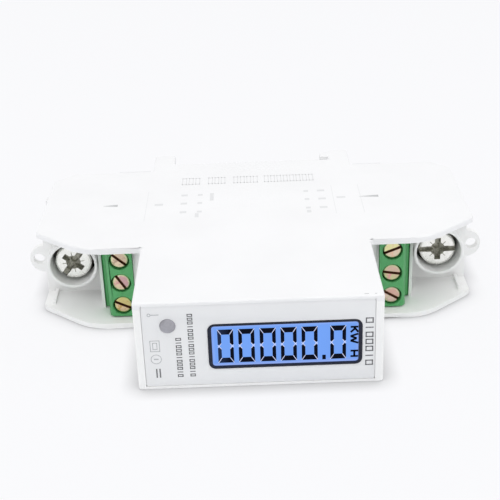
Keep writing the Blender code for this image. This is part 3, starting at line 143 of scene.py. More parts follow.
def node_shape(node):
    """A CAD node's shape with its triangles merged back into whole faces."""
    bm = bmesh.new()
    bm.from_mesh(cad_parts[node].data)
    bmesh.ops.remove_doubles(bm, verts=bm.verts, dist=MERGE_DISTANCE)
    merge_flat_faces(bm)
    return bm


def soften(bm, width, segments=2, angle=50.0, keep_heights=()):
    """Rounds sharp edges by a width in millimetres, but none that lies level at a kept height."""
    def kept(edge):
        return any(all(abs(vert.co.z / MM - height) < CLOSE for vert in edge.verts)
                   for height in keep_heights)
    sharp = [edge for edge in bm.edges if edge.is_manifold and not kept(edge)
             and math.radians(angle) < edge.calc_face_angle(0.0) < math.radians(FOLD_ANGLE)]
    bmesh.ops.bevel(bm, geom=sharp, offset=width * MM, offset_type="OFFSET", segments=segments,
                    profile=0.5, affect="EDGES", clamp_overlap=True, material=-1)


def new_object(name, bm, finishes):
    """Puts a shape into the scene with its finishes."""
    mesh = bpy.data.meshes.new(name)
    bm.to_mesh(mesh)
    bm.free()
    for finish in finishes:
        mesh.materials.append(finish)
    made = bpy.data.objects.new(name, mesh)
    bpy.context.scene.collection.objects.link(made)
    return made


def make_piece(name, bm, finish, body=CASE, stands_for=(), crease=35.0, second=None,
               even=False):
    """Turns a shape into a finished piece that rides on a body.

    Large flat faces rule an even piece's shading, so that its small rounds read as smooth.
    """
    bmesh.ops.recalc_face_normals(bm, faces=bm.faces)
    piece = new_object(name, bm, (finish, second) if second else (finish,))
    piece.data.shade_smooth()
    piece.data.set_sharp_from_angle(angle=math.radians(crease))
    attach(piece, body)
    if stands_for:
        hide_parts(*stands_for)
    if even:
        modifier = piece.modifiers.new("even_shading", "WEIGHTED_NORMAL")
        modifier.keep_sharp = True
        modifier.weight = EVEN_WEIGHT
    return piece


def carve(bm, cutters, finishes):
    """Cuts closed shapes out of a shape; the cut faces get the second of two finishes."""
    body = new_object("carved", bm, finishes)
    tools = []
    for index, cutter in enumerate(cutters):
        bmesh.ops.recalc_face_normals(cutter, faces=cutter.faces)
        for face in cutter.faces:
            face.material_index = 1
        tools.append(new_object(f"cutter_{index}", cutter, finishes))
        cut = body.modifiers.new(f"cut_{index}", "BOOLEAN")
        cut.object = tools[-1]
        cut.operation = "DIFFERENCE"
        cut.solver = "EXACT"
        cut.material_mode = "INDEX"
    bpy.context.view_layer.update()
    evaluated = body.evaluated_get(bpy.context.evaluated_depsgraph_get())
    result = bmesh.new()
    result.from_mesh(evaluated.to_mesh())
    evaluated.to_mesh_clear()
    for made in (body, *tools):
        mesh = made.data
        bpy.data.objects.remove(made)
        bpy.data.meshes.remove(mesh)
    bmesh.ops.remove_doubles(result, verts=result.verts, dist=MERGE_DISTANCE)
    return result


# Screw forms


THREAD_RIDGE = 0.42
CUTTER_RISE = 1.0
SLOT_OVERRUN = 2.0


def screw_profile(shape, head, front, back):
    """Half a screw's outline as (radius, place along its axis) points, from head to tip.

    Each pair of the rim says how far in from the head's side and how far behind its front it is.
    """
    head_back = front + shape["head_height"]
    under, core = shape["under"], shape["core"]
    return [(0.0, front), *((head - inset, front + drop) for inset, drop in shape["rim"]),
            (head, head_back - under), (head - under, head_back), (core, head_back),
            (core, back - shape["taper"]), (shape["tip"], back), (0.0, back)]


def add_thread(bm, x, height, radius, first_depth, last_depth, pitch, crest, steps_a_turn):
    """A ridge wound round a shank: a small triangle carried along a screw line."""
    half = pitch * THREAD_RIDGE
    corners = ((radius - crest, -half), (radius, 0.0), (radius - crest, half))
    start = first_depth + half
    turns = (last_depth - first_depth - 2 * half) / pitch
    verts = [bm.verts.new(spot(x + r, start + along, height)) for r, along in corners]
    face = bm.faces.new(verts)
    steps = max(1, round(turns * steps_a_turn))
    bmesh.ops.spin(bm, geom=[*face.verts, *face.edges, face], cent=spot(x, 0.0, height),
                   axis=(0.0, 1.0, 0.0), dvec=(0.0, pitch * MM / steps_a_turn, 0.0),
                   angle=turns * math.tau, steps=steps, use_merge=False, use_duplicate=False)
    loose = [edge for edge in bm.edges if edge.is_boundary]
    bmesh.ops.holes_fill(bm, edges=loose, sides=3)


def slot_cutter(place, length, width, deep, turn, narrowing=(1.0, 1.0), upwards=False):
    """A bar that cuts a slot into a screw's head; it may narrow in length and width inwards."""
    bm = bmesh.new()
    verts = add_box(bm, ORIGIN, Vector((length, deep + CUTTER_RISE, width)) * MM)
    for vert in verts:
        if vert.co.y > 0:
            vert.co.x *= narrowing[0]
            vert.co.z *= narrowing[1]
        vert.co.y += (deep - CUTTER_RISE) / 2 * MM
    bmesh.ops.rotate(bm, verts=verts, matrix=Matrix.Rotation(-turn, 3, "Y"))
    if upwards:
        bmesh.ops.rotate(bm, verts=verts, matrix=Matrix.Rotation(math.radians(90.0), 3, "X"))
    bmesh.ops.translate(bm, verts=verts, vec=place)
    return bm


# Finishes


FLOW_SIZE = 14.0
RUB_SIZE = 2.6
WAVE_SIZE = 6.0
WAVE_DEPTH = 0.02
SCRATCH_STRETCH = (0.35, 1.0, 4.0)
SCRATCH_DEPTH = 0.012
RING_DEPTH = 0.008
WANDER = 0.6
TONE_SEAM = 0.1
FLECK_RANGE = (0.52, 0.66)
# Where the painted rim highlight of a small screw fades in, counted in from the head's side.
RIM_HIGHLIGHT_FADE = (0.42, 0.16)
INK_THIN_RANGE = (0.45, 0.75)
WORN_TONE = 0.8


def new_finish(name, colour, roughness, metallic=0.0):
    """A Principled material; returns it with its tree, shader and Object coordinates."""
    material = bpy.data.materials.new(name)
    material.use_nodes = True
    tree = material.node_tree
    shader = tree.nodes["Principled BSDF"]
    shader.inputs["Base Color"].default_value = (*colour, 1.0)
    shader.inputs["Roughness"].default_value = roughness
    shader.inputs["Metallic"].default_value = metallic
    where = tree.nodes.new("ShaderNodeTexCoord").outputs["Object"]
    return material, tree, shader, where


def centred(tree, where, centre, stretch=(1.0, 1.0, 1.0)):
    """Coordinates counted from a point, and stretched."""
    mapping = tree.nodes.new("ShaderNodeMapping")
    mapping.inputs["Scale"].default_value = stretch
    mapping.inputs["Location"].default_value = [-c * s for c, s in zip(centre, stretch)]
    tree.links.new(where, mapping.inputs["Vector"])
    return mapping.outputs["Vector"]


def turned(tree, local, angle):
    """Centred coordinates turned about the depth axis, so that a slot lies along x."""
    mapping = tree.nodes.new("ShaderNodeMapping")
    mapping.inputs["Rotation"].default_value = (0.0, angle, 0.0)
    tree.links.new(local, mapping.inputs["Vector"])
    return mapping.outputs["Vector"]


def combined(tree, operation, first, second):
    """A sum, product or other joint value of two patterns, or of a pattern and a number."""
    node = tree.nodes.new("ShaderNodeMath")
    node.operation = operation
    for value, socket in ((first, node.inputs[0]), (second, node.inputs[1])):
        if isinstance(value, (int, float)):
            socket.default_value = value
        else:
            tree.links.new(value, socket)
    return node.outputs["Value"]


def noise(tree, where, size, detail=2.0, rough=0.5):
    """Noise whose blotches are about a size in millimetres."""
    node = tree.nodes.new("ShaderNodeTexNoise")
    node.inputs["Scale"].default_value = 1.0 / (size * MM)
    node.inputs["Detail"].default_value = detail
    node.inputs["Roughness"].default_value = rough
    tree.links.new(where, node.inputs["Vector"])
    return node.outputs["Fac"]


def rings(tree, where, spacing, distortion=0.0):
    """Turning marks about the depth axis, a spacing in millimetres apart."""
    node = tree.nodes.new("ShaderNodeTexWave")
    node.wave_type = "RINGS"
    node.rings_direction = "Y"
    node.inputs["Scale"].default_value = 0.32 / (spacing * MM)
    node.inputs["Distortion"].default_value = distortion
    tree.links.new(where, node.inputs["Vector"])
    return node.outputs["Fac"]


def spread(tree, source, low, high, start=0.35, end=0.65):
    """Maps the middle of a pattern to a range of values."""
    node = tree.nodes.new("ShaderNodeMapRange")
    sockets = ("From Min", "From Max", "To Min", "To Max")
    for socket, value in zip(sockets, (start, end, low, high)):
        node.inputs[socket].default_value = value
    tree.links.new(source, node.inputs["Value"])
    return node.outputs["Result"]


def tinted(tree, factor, first, second):
    """A colour between two colours, by a pattern."""
    node = tree.nodes.new("ShaderNodeMix")
    node.data_type = "RGBA"
    for socket in node.inputs:
        if socket.type == "RGBA":
            socket.default_value = (*(first if socket.name == "A" else second), 1.0)
    tree.links.new(factor, node.inputs["Factor"])
    return next(socket for socket in node.outputs if socket.type == "RGBA")


def scaled(colour, share):
    """A colour made darker or lighter."""
    return tuple(min(1.0, part * share) for part in colour)


def add_bump(tree, shader, height, strength, distance):
    """Adds relief of a depth in millimetres to what the shader's normal already has."""
    node = tree.nodes.new("ShaderNodeBump")
    node.inputs["Strength"].default_value = strength
    node.inputs["Distance"].default_value = distance * MM
    tree.links.new(height, node.inputs["Height"])
    normal = shader.inputs["Normal"]
    if normal.is_linked:
        tree.links.new(normal.links[0].from_socket, node.inputs["Normal"])
    tree.links.new(node.outputs["Normal"], normal)


def paint(tree, shader, pattern, first, second, start=0.35, end=0.65):
    """Colours a finish between two tones, by a pattern."""
    tones = tinted(tree, spread(tree, pattern, 0.0, 1.0, start, end), first, second)
    tree.links.new(tones, shader.inputs["Base Color"])


def colour_input(mixed, name):
    """A colour socket of the mix that gave a colour."""
    return next(socket for socket in mixed.node.inputs
                if socket.name == name and socket.type == "RGBA")


def moulded_finish(name, colour, roughness, grain=0.22, grain_depth=0.006, tone=0.975):
    """Injection-moulded plastic: a fine spark-eroded grain, faint flow marks and rubbed patches."""
    material, tree, shader, where = new_finish(name, colour, roughness)
    paint(tree, shader, noise(tree, where, FLOW_SIZE, detail=3.0), colour, scaled(colour, tone))
    rubbed = noise(tree, where, RUB_SIZE, detail=5.0, rough=0.65)
    tree.links.new(spread(tree, rubbed, roughness - 0.06, roughness + 0.07),
                   shader.inputs["Roughness"])
    add_bump(tree, shader, noise(tree, where, grain, detail=3.0), 0.35, grain_depth)
    add_bump(tree, shader, noise(tree, where, WAVE_SIZE, detail=1.0), 0.25, WAVE_DEPTH)
    return material


def plated_finish(name, bright, shade, roughness, centre, patch=0.9, ring_spacing=0.16,
                  relief=1.0):
    """Turned and plated steel: turning rings about its axis, blotched colour and fine scratches."""
    material, tree, shader, where = new_finish(name, bright, roughness, metallic=1.0)
    local = centred(tree, where, centre)
    paint(tree, shader, noise(tree, local, patch, detail=3.0), bright, shade)
    dulled = noise(tree, local, 0.5, detail=4.0, rough=0.7)
    tree.links.new(spread(tree, dulled, roughness - 0.09, roughness + 0.12),
                   shader.inputs["Roughness"])
    scratches = noise(tree, centred(tree, where, centre, SCRATCH_STRETCH), 0.25, detail=4.0)
    add_bump(tree, shader, scratches, 0.3, SCRATCH_DEPTH * relief)
    add_bump(tree, shader, rings(tree, local, ring_spacing, distortion=0.4), 0.3,
             RING_DEPTH * relief)
    return material


def passivated_finish_with_highlight(name, tones, centre, turn, head):
    """Yellow passivated zinc: either side of the slot has its own tone, and a painted highlight
    makes the rim pale.
    """
    above, below, fleck, rim = tones
    material, tree, shader, where = new_finish(name, above, 0.36, metallic=1.0)
    local = turned(tree, centred(tree, where, centre), turn)
    blotches = noise(tree, local, 0.55, detail=3.0)
    wander = combined(tree, "MULTIPLY", combined(tree, "SUBTRACT", blotches, 0.5), WANDER * MM)
    parts = tree.nodes.new("ShaderNodeSeparateXYZ")
    tree.links.new(local, parts.inputs["Vector"])
    across = combined(tree, "ADD", parts.outputs["Z"], wander)
    halves = tinted(tree, spread(tree, across, 0.0, 1.0, -TONE_SEAM * MM, TONE_SEAM * MM),
                    below, above)
    flecks = tinted(tree, spread(tree, noise(tree, local, 0.9), 0.0, 1.0, *FLECK_RANGE),
                    above, fleck)
    tree.links.new(halves, colour_input(flecks, "A"))
    reach = tree.nodes.new("ShaderNodeVectorMath")
    reach.operation = "LENGTH"
    flat = centred(tree, local, ORIGIN, (1.0, 0.0, 1.0))
    tree.links.new(flat, reach.inputs[0])
    edge = combined(tree, "ADD", reach.outputs["Value"], wander)
    # Painted highlight: towards the head's edge the colour turns to the pale rim tone.
    fade_start, fade_end = ((head - inset) * MM for inset in RIM_HIGHLIGHT_FADE)
    whole = tinted(tree, spread(tree, edge, 0.0, 1.0, fade_start, fade_end), above, rim)
    tree.links.new(flecks, colour_input(whole, "A"))
    tree.links.new(whole, shader.inputs["Base Color"])
    add_bump(tree, shader, noise(tree, local, 0.35, detail=3.0), 0.3, 0.015)
    return material


def shaded_recess_finish(name, colour):
    """Painted shade on the floor and walls of a slot: a dull darker tone, with speckled dirt in it.
    """
    # The base tone is painted shade, darker than the metal outside the slot; the darker specks are
    # dirt.
    material, tree, shader, where = new_finish(name, colour, 0.6, metallic=0.6)
    paint(tree, shader, noise(tree, where, 0.3, detail=3.0), colour, scaled(colour, 0.55))
    return material


def print_finish(name, colour, wear=0.7):
    """Pad-printed ink, a little worn where the ink is thin."""
    material, tree, shader, where = new_finish(name, colour, 0.5)
    faded = tuple(part + (WORN_TONE - part) * (1.0 - wear) for part in colour)
    paint(tree, shader, noise(tree, where, 0.3, detail=4.0), colour, faded, *INK_THIN_RANGE)
    return material


# Settings


class MeterCaseSettings(PropertyGroup):
    """Moulded case, rail clip and the screws that hold the case."""

    plastic: FloatVectorProperty(
        name="Plastic", description="Colour of the white case plastic", subtype="COLOR",
        default=(0.89, 0.89, 0.895))
    # Painted light: the tray is the lid's white plastic made lighter, so that its shaded floor
    # reads brighter.
    tray_plastic_painted_lighter: FloatVectorProperty(
        name="Tray plastic", description="Colour of the plastic of the case's lower half",
        subtype="COLOR", default=(0.945, 0.945, 0.935))
    roughness: FloatProperty(
        name="Roughness", description="Roughness of the case plastic", subtype="FACTOR",
        default=0.42, min=0.0, max=1.0)
    edge_round: FloatProperty(
        name="Edge rounding", description="Rounding of the moulded edges", unit="LENGTH",
        default=0.09 * MM, min=0.0)
    arrow_ink: FloatVectorProperty(
        name="Side arrows", description="Colour of the two arrows on the large side",
        subtype="COLOR", default=(0.5, 0.505, 0.51))
    side_ink: FloatVectorProperty(
        name="Side print", description="Colour of the faint marks on the large side",
        subtype="COLOR", default=(0.74, 0.745, 0.75))
    # Also the colour of painted shadow lines along the large side's rear edges.
    side_line_and_shadow_ink: FloatVectorProperty(
        name="Side lines", description="Colour of the faintest lines on the large side",
        subtype="COLOR", default=(0.81, 0.815, 0.82))
    screw_plating: FloatVectorProperty(
        name="Screw plating", description="Colour of the case screws", subtype="COLOR",
        default=(0.62, 0.62, 0.6))


class MeterLabelSettings(PropertyGroup):
    """The pale plate over the nose and what is printed on it."""

    plate: FloatVectorProperty(
        name="Plate", description="Colour of the label plate", subtype="COLOR",
        default=(0.85, 0.855, 0.86))
    ink: FloatVectorProperty(
        name="Ink", description="Colour of the print on the label", subtype="COLOR",
        default=(0.1, 0.1, 0.11))
    faint_ink: FloatVectorProperty(
        name="Faint ink", description="Colour of the paler print on the label", subtype="COLOR",
        default=(0.46, 0.465, 0.48))
    ink_thickness: FloatProperty(
        name="Ink thickness", description="Height of the ink above the plate", unit="LENGTH",
        default=0.012 * MM, min=0.0)


class MeterDisplaySettings(PropertyGroup):
    """The lit display behind its dark frame."""

    bezel: FloatVectorProperty(
        name="Bezel", description="Colour of the display's frame", subtype="COLOR",
        default=(0.0075, 0.011, 0.03))
    backlight: FloatVectorProperty(
        name="Backlight", description="Colour of the lit display", subtype="COLOR",
        default=(0.14, 0.34, 0.9))
    edge_glow: FloatVectorProperty(
        name="Edge glow", description="Colour of the display's edges", subtype="COLOR",
        default=(0.33, 0.455, 0.92))
    edge_fade: FloatProperty(
        name="Edge fade", description="Width of the paler edge", unit="LENGTH",
        default=0.9 * MM)
    glow: FloatProperty(
        name="Glow", description="Strength of the display's own light", default=0.93, min=0.0)
    segments: FloatVectorProperty(
        name="Segments", description="Colour of the figures", subtype="COLOR",
        default=(0.0015, 0.0025, 0.01))
    slant_segments: FloatVectorProperty(
        name="Slant segments", description="Colour of the figures at the left end",
        subtype="COLOR", default=(0.02, 0.035, 0.09))
    slant_fade: FloatProperty(
        name="Slant fade", description="Reach of the paler figures", unit="LENGTH",
        default=2.2 * MM)
    segment_gaps: FloatVectorProperty(
        name="Segment gaps", description="Colour of the lines between a figure's segments",
        subtype="COLOR", default=(0.72, 0.72, 0.9))
    figure_low: FloatProperty(
        name="Figure foot", description="Height of the figures' foot", unit="LENGTH",
        default=4.9 * MM)
    figure_high: FloatProperty(
        name="Figure top", description="Height of the figures' top", unit="LENGTH",
        default=11.85 * MM)
    upright_width: FloatProperty(
        name="Upright width", description="Width of the upright segments", unit="LENGTH",
        default=0.66 * MM)
    crossbar_width: FloatProperty(
        name="Crossbar width", description="Width of the level segments", unit="LENGTH",
        default=1.04 * MM)


class MeterLampSettings(PropertyGroup):
    """The pulse lamp beside the display."""

    lens: FloatVectorProperty(
        name="Lens", description="Colour of the unlit lens", subtype="COLOR",
        default=(0.35, 0.345, 0.375))
    lens_spread: FloatProperty(
        name="Lens spread", description="What the lens grows to fill its hole", unit="LENGTH",
        default=-0.06 * MM)
    # Painted shade: how dark the lens is painted at its lower left.
    lower_left_painted_shade: FloatProperty(
        name="Lower left shade", description="Share of the colour at the lens's lower left",
        subtype="FACTOR", default=0.72, min=0.0, max=1.0)
    steps: IntProperty(name="Steps", description="Steps around the lens", default=64, min=16)


class MeterMainScrewSettings(PropertyGroup):
    """The large terminal screws."""

    bright: FloatVectorProperty(
        name="Plating", description="Brightest tone of the nickel plating", subtype="COLOR",
        default=(0.95, 0.95, 0.92))
    shade: FloatVectorProperty(
        name="Dulled plating", description="Duller tone of the nickel plating", subtype="COLOR",
        default=(0.86, 0.86, 0.82))
    # Painted shade: a tone darker than the plating, for the shade inside the slot and the cross.
    recess: FloatVectorProperty(
        name="Recess", description="Tone inside the slot and the cross", subtype="COLOR",
        default=(0.58, 0.57, 0.49))
    left_slot: FloatProperty(
        name="Left slot", description="Turn of the left screw's slot", subtype="ANGLE",
        default=math.radians(52.0))
    right_slot: FloatProperty(
        name="Right slot", description="Turn of the right screw's slot", subtype="ANGLE",
        default=0.0)
    slot_width: FloatProperty(
        name="Slot width", description="Width of the slot", unit="LENGTH",
        default=1.15 * MM)
    slot_depth: FloatProperty(
        name="Slot depth", description="Depth of the slot", unit="LENGTH",
        default=1.1 * MM)
    cross_length: FloatProperty(
        name="Cross length", description="Length of the cross recess", unit="LENGTH",
        default=4.9 * MM)
    cross_width: FloatProperty(
        name="Cross width", description="Width of the cross recess", unit="LENGTH",
        default=1.25 * MM)
    cross_depth: FloatProperty(
        name="Cross depth", description="Depth of the cross recess", unit="LENGTH",
        default=1.7 * MM)


class MeterSignalTerminalSettings(PropertyGroup):
    """The two green terminal blocks and their six small screws."""

    housing: FloatVectorProperty(
        name="Housing", description="Colour of the green housings", subtype="COLOR",
        default=(0.085, 0.4, 0.13))
    housing_round: FloatProperty(
        name="Edge rounding", description="Rounding of the housings' edges", unit="LENGTH",
        default=0.14 * MM, min=0.0)
    slot_width: FloatProperty(
        name="Slot width", description="Width of a small screw's slot", unit="LENGTH",
        default=0.58 * MM)
    slot_depth: FloatProperty(
        name="Slot depth", description="Depth of a small screw's slot", unit="LENGTH",
        default=0.85 * MM)
    # Painted shade: a tone darker than the screw heads, for the shade inside the small slots.
    recess: FloatVectorProperty(
        name="Slot tone", description="Tone inside the small screws' slots", subtype="COLOR",
        default=(0.3, 0.125, 0.06))


class MeterStageSettings(PropertyGroup):
    """Floor, light and camera."""

    sky: FloatProperty(
        name="Surrounding light", description="Strength of the even light from all around",
        default=0.74, min=0.0)
    key_power: FloatProperty(
        name="Overhead light", description="Power of the large lamp overhead", subtype="POWER",
        default=1.3, min=0.0)
    side_power: FloatProperty(
        name="Side light", description="Power of each lamp at the meter's ends",
        subtype="POWER", default=0.35, min=0.0)
    floor: FloatVectorProperty(
        name="Floor", description="Colour of the floor", subtype="COLOR",
        default=(0.93, 0.94, 0.96))
    floor_glow: FloatProperty(
        name="Floor whiteness", description="Share of plain white that is seen in the floor",
        subtype="FACTOR", default=0.88, min=0.0, max=1.0)
    lens: FloatProperty(
        name="Lens", description="Focal length of the camera", unit="CAMERA", default=79.62)


# Stage


FLOOR_REACH = 1.6
CAMERA_PLACE = (-0.0012, -0.20795, 0.1117)
CAMERA_YAW_DEG = -0.025
CAMERA_DIP_DEG = 26.0
CAMERA_ROLL_DEG = -2.1
KEY_PLACE = Vector((0.0, -0.1, 0.6))
KEY_SIZE = 0.5
SIDE_PLACE = Vector((0.62, -0.14, 0.27))
SIDE_SIZE = 0.35
BACKDROP = (0.955, 0.955, 0.972)
CONTACT_REACH = 0.004
CONTACT_SHADE = 0.5
SKY_TINT = (0.985, 0.99, 1.0)
LAMP_AIM_DEPTH = 30.0


def seen_plainly(tree):
    """One for rays that show the surroundings: from the camera, off gloss or through glass."""
    path = tree.nodes.new("ShaderNodeLightPath")
    total = path.outputs["Is Camera Ray"]
    for ray in ("Is Glossy Ray", "Is Transmission Ray"):
        total = combined(tree, "MAXIMUM", total, path.outputs[ray])
    return total


def show_mixed(tree, share, first, second, output):
    """Shows a share of a second shader over the first one."""
    mix = tree.nodes.new("ShaderNodeMixShader")
    tree.links.new(share, mix.inputs[0])
    tree.links.new(first.outputs[0], mix.inputs[1])
    tree.links.new(second.outputs[0], mix.inputs[2])
    tree.links.new(mix.outputs[0], tree.nodes[output].inputs["Surface"])


def light_world(settings):
    """An even sky for the light, plain white where it is seen."""
    world = bpy.data.worlds.new("studio")
    bpy.context.scene.world = world
    world.use_nodes = True
    tree = world.node_tree
    background = tree.nodes["Background"]
    background.inputs["Color"].default_value = (*SKY_TINT, 1.0)
    background.inputs["Strength"].default_value = settings.sky
    white = tree.nodes.new("ShaderNodeBackground")
    white.inputs["Color"].default_value = (*BACKDROP, 1.0)
    show_mixed(tree, seen_plainly(tree), background, white, "World Output")


def lay_floor(settings):
    """A wide pale floor that keeps a faint shadow of the meter."""
    material, tree, shader, _ = new_finish("floor", settings.floor, 0.9)
    shader.inputs["Specular IOR Level"].default_value = 0.0
    glow = tree.nodes.new("ShaderNodeEmission")
    contact = tree.nodes.new("ShaderNodeAmbientOcclusion")
    contact.inputs["Distance"].default_value = CONTACT_REACH
    closeness = spread(tree, contact.outputs["AO"], 0.0, 1.0, 0.4, 1.0)
    tree.links.new(tinted(tree, closeness, scaled(BACKDROP, CONTACT_SHADE), BACKDROP),
                   glow.inputs["Color"])
    share = combined(tree, "MULTIPLY", seen_plainly(tree), settings.floor_glow)
    show_mixed(tree, share, shader, glow, "Material Output")
    bm = bmesh.new()
    bmesh.ops.create_grid(bm, x_segments=1, y_segments=1, size=FLOOR_REACH)
    new_object("floor", bm, (material,))


def hang_lamp(name, place, size, power, target):
    """A square lamp that shines on a target."""
    lamp = bpy.data.lights.new(name, "AREA")
    lamp.shape = "SQUARE"
    lamp.size = size
    lamp.energy = power
    holder = bpy.data.objects.new(name, lamp)
    holder.location = place
    holder.rotation_euler = (target - place).to_track_quat("-Z", "Y").to_euler()
    bpy.context.scene.collection.objects.link(holder)


def set_camera(settings):
    """The photograph's viewing angle and distance."""
    camera = bpy.data.cameras.new("camera")
    camera.lens = settings.lens
    camera.sensor_width = 36.0
    camera.clip_start = 0.01
    holder = bpy.data.objects.new("camera", camera)
    turn = Matrix.Rotation(math.radians(CAMERA_YAW_DEG), 4, "Z")
    turn = turn @ Matrix.Rotation(math.radians(90.0 - CAMERA_DIP_DEG), 4, "X")
    turn = turn @ Matrix.Rotation(math.radians(CAMERA_ROLL_DEG), 4, "Z")
    holder.matrix_world = Matrix.Translation(CAMERA_PLACE) @ turn
    bpy.context.scene.collection.objects.link(holder)
    bpy.context.scene.camera = holder


class METER_OT_set_stage(Operator):
    """Lay the floor, hang the lamps and set the camera"""

    bl_idname = "meter.set_stage"
    bl_label = "Set the stage"

    def execute(self, context):
        settings = context.scene.meter_stage
        context.scene.view_settings.view_transform = "Standard"
        light_world(settings)
        lay_floor(settings)
        target = spot(0.0, LAMP_AIM_DEPTH, MIDDLE_HEIGHT)
        hang_lamp("overhead", KEY_PLACE, KEY_SIZE, settings.key_power, target)
        for side, sign in SIDES.items():
            place = Vector((sign * SIDE_PLACE.x, SIDE_PLACE.y, SIDE_PLACE.z))
            hang_lamp(f"side_{side}", place, SIDE_SIZE, settings.side_power, target)
        set_camera(settings)
        return {"FINISHED"}


# Case


CASE_SCREW = {
    "head": 2.2, "head_height": 1.4, "under": 0.12,
    "rim": ((0.55, 0.0), (0.2, 0.12), (0.04, 0.4), (0.0, 0.7)),
    "core": 1.2, "tip": 0.35, "taper": 0.8, "steps": 48,
}
CASE_SCREW_CROSS = (2.6, 0.62, 0.95)
CROSS_NARROWING = (0.55, 0.75)
SEAM_HEIGHTS = (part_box("base_shell")[1].z / MM, SIDE_TOP - 1.2)
SEAM_CLOSED = 0.06
LONG_FACE = 5.0
LIP_DEPTHS = (22.5, 23.35)
LIP_REACH = 30.5
LIP_ROUND = 0.35
LIP_MERGE = 2e-5
LIP_CORNER = (23.1, 23.0)
LIP_SLIVERS = (23.4, 30.35)


def square_lip(bm):
    """Makes the lid's edge beside the nose plain, ready for a round of its own."""
    for vert in bm.verts:
        depth = (vert.co.y - FRONT) / MM
        if (LIP_DEPTHS[0] < depth < LIP_DEPTHS[1] and abs(vert.co.x / MM) < LIP_REACH
                and vert.co.z / MM > SIDE_TOP - LIP_ROUND):
            vert.co.z = SIDE_TOP * MM
            if LIP_SLIVERS[0] < abs(vert.co.x / MM) < LIP_SLIVERS[1]:
                corner, depth = LIP_CORNER
                vert.co = spot(math.copysign(corner, vert.co.x), depth, SIDE_TOP)
    bmesh.ops.remove_doubles(bm, verts=bm.verts, dist=LIP_MERGE)
    bmesh.ops.dissolve_degenerate(bm, edges=bm.edges, dist=LIP_MERGE)
    merge_flat_faces(bm)


def finish_shell(name, node, finish, settings):
    """A moulded shell with its edges broken and its shading evened."""
    bm = node_shape(node)
    if node == "base_shell":
        for vert in bm.verts:
            if abs(vert.co.z / MM - SEAM_HEIGHTS[0]) < CLOSE:
                vert.co.z += SEAM_CLOSED * MM
    else:
        square_lip(bm)
    soften(bm, settings.edge_round / MM,
           keep_heights=(0.0, *SEAM_HEIGHTS, SEAM_HEIGHTS[0] + SEAM_CLOSED))
    piece = make_piece(name, bm, finish, stands_for=(node,), crease=60.0, even=True)
    for face in piece.data.polygons:
        corners = [piece.data.vertices[index].co for index in face.vertices]
        longest = max((one - other).length for one, other in zip(corners, corners[1:]))
        lowest = min(corner.z for corner in corners)
        if lowest / MM > SEAM_HEIGHTS[1] - CLOSE and longest > LONG_FACE * MM:
            face.use_smooth = False


def make_case_screw(node, finish, recess):
    """A pan-head screw with a cross recess, head down in its well on the hidden side."""
    (x0, d0, foot), (x1, d1, top) = millimetres(node)
    x, depth = (x0 + x1) / 2, (d0 + d1) / 2
    outline = screw_profile(CASE_SCREW, CASE_SCREW["head"], foot, top)
    bm = bmesh.new()
    spin_profile(bm, [spot(x + radius, depth, height) for radius, height in outline],
                 spot(x, depth, 0.0), (0.0, 0.0, 1.0), CASE_SCREW["steps"])
    bmesh.ops.recalc_face_normals(bm, faces=bm.faces)
    cutters = [slot_cutter(spot(x, depth, foot), *CASE_SCREW_CROSS, math.radians(turn),
                           narrowing=CROSS_NARROWING, upwards=True) for turn in (0.0, 90.0)]
    bm = carve(bm, cutters, (finish, recess))
    make_piece(f"{node}_turned", bm, finish, stands_for=(node,), second=recess)


class METER_OT_finish_case(Operator):
    """Finish the moulded case, its rail clip and its screws"""

    bl_idname = "meter.finish_case"
    bl_label = "Finish the case"

    def execute(self, context):
        settings = context.scene.meter_case
        plastic = moulded_finish("case_plastic", settings.plastic, settings.roughness)
        # The tray's plastic is painted lighter than the lid's, in place of more light on its floor.
        tray_plastic_painted_lighter = moulded_finish("tray_plastic_painted_lighter", settings.tray_plastic_painted_lighter, settings.roughness)
        finish_shell("case_tray", "base_shell", tray_plastic_painted_lighter, settings)
        finish_shell("case_lid", "cover_shell", plastic, settings)
        clip_plastic = moulded_finish("clip_plastic", scaled(settings.plastic, 0.97),
                                      settings.roughness + 0.05, grain=0.35)
        clip = node_shape("rail_clip")
        soften(clip, settings.edge_round / MM)
        make_piece("clip_body", clip, clip_plastic, body="rail_clip",
                   stands_for=("rail_clip",), crease=60.0, even=True)
        plating = plated_finish("case_screw_zinc", settings.screw_plating,
                                scaled(settings.screw_plating, 0.75), 0.36, ORIGIN)
        # Painted shade inside the cross recess: the plating's colour at four tenths.
        recess = shaded_recess_finish("case_screw_recess", scaled(settings.screw_plating, 0.4))
        for place in ("nose_left", "nose_right", "back_left", "back_right"):
            make_case_screw(f"case_screw_{place}", plating, recess)
        return {"FINISHED"}


# Label


SMALL_ROWS = (((-12.84, -11.86), (2.53, 15.8), 17), ((-15.14, -14.12), (2.5, 10.94), 11))
LARGE_ROW = ((19.12, 20.55), (3.6, 13.9), 7)
SMALL_LINE = 0.17
LARGE_LINE = 0.22
ROW_SPACING = 0.24
SQUARE_MARK = ((-19.83, -18.03), (8.0, 10.36))
SQUARE_INSET = 0.46
RING_MARK_CENTRE = (-18.86, 6.42)
RING_MARK_RADIUS = 1.0
RING_BAR = (0.85, 0.24)
KEY_MARK_CENTRE = (-19.6, 15.62)
KEY_MARK_RADIUS = 0.33
KEY_MARK_END = -17.81
MARK_LINE = 0.13
LABEL_SPREAD = 0.1
LAMP_HOLE_NARROWED = 0.2
PLAIN_BARS = (((-19.05, -18.8), (2.5, 4.4)), ((-18.45, -18.2), (2.5, 4.4)))
KEY_MARK_LINE = 0.16
RING_STEPS = 48
LABEL_ROUND = 0.05
LABEL_EDGE = 0.45
WINDOW_REACH = 1.3
LAMP_REACH = 2.0


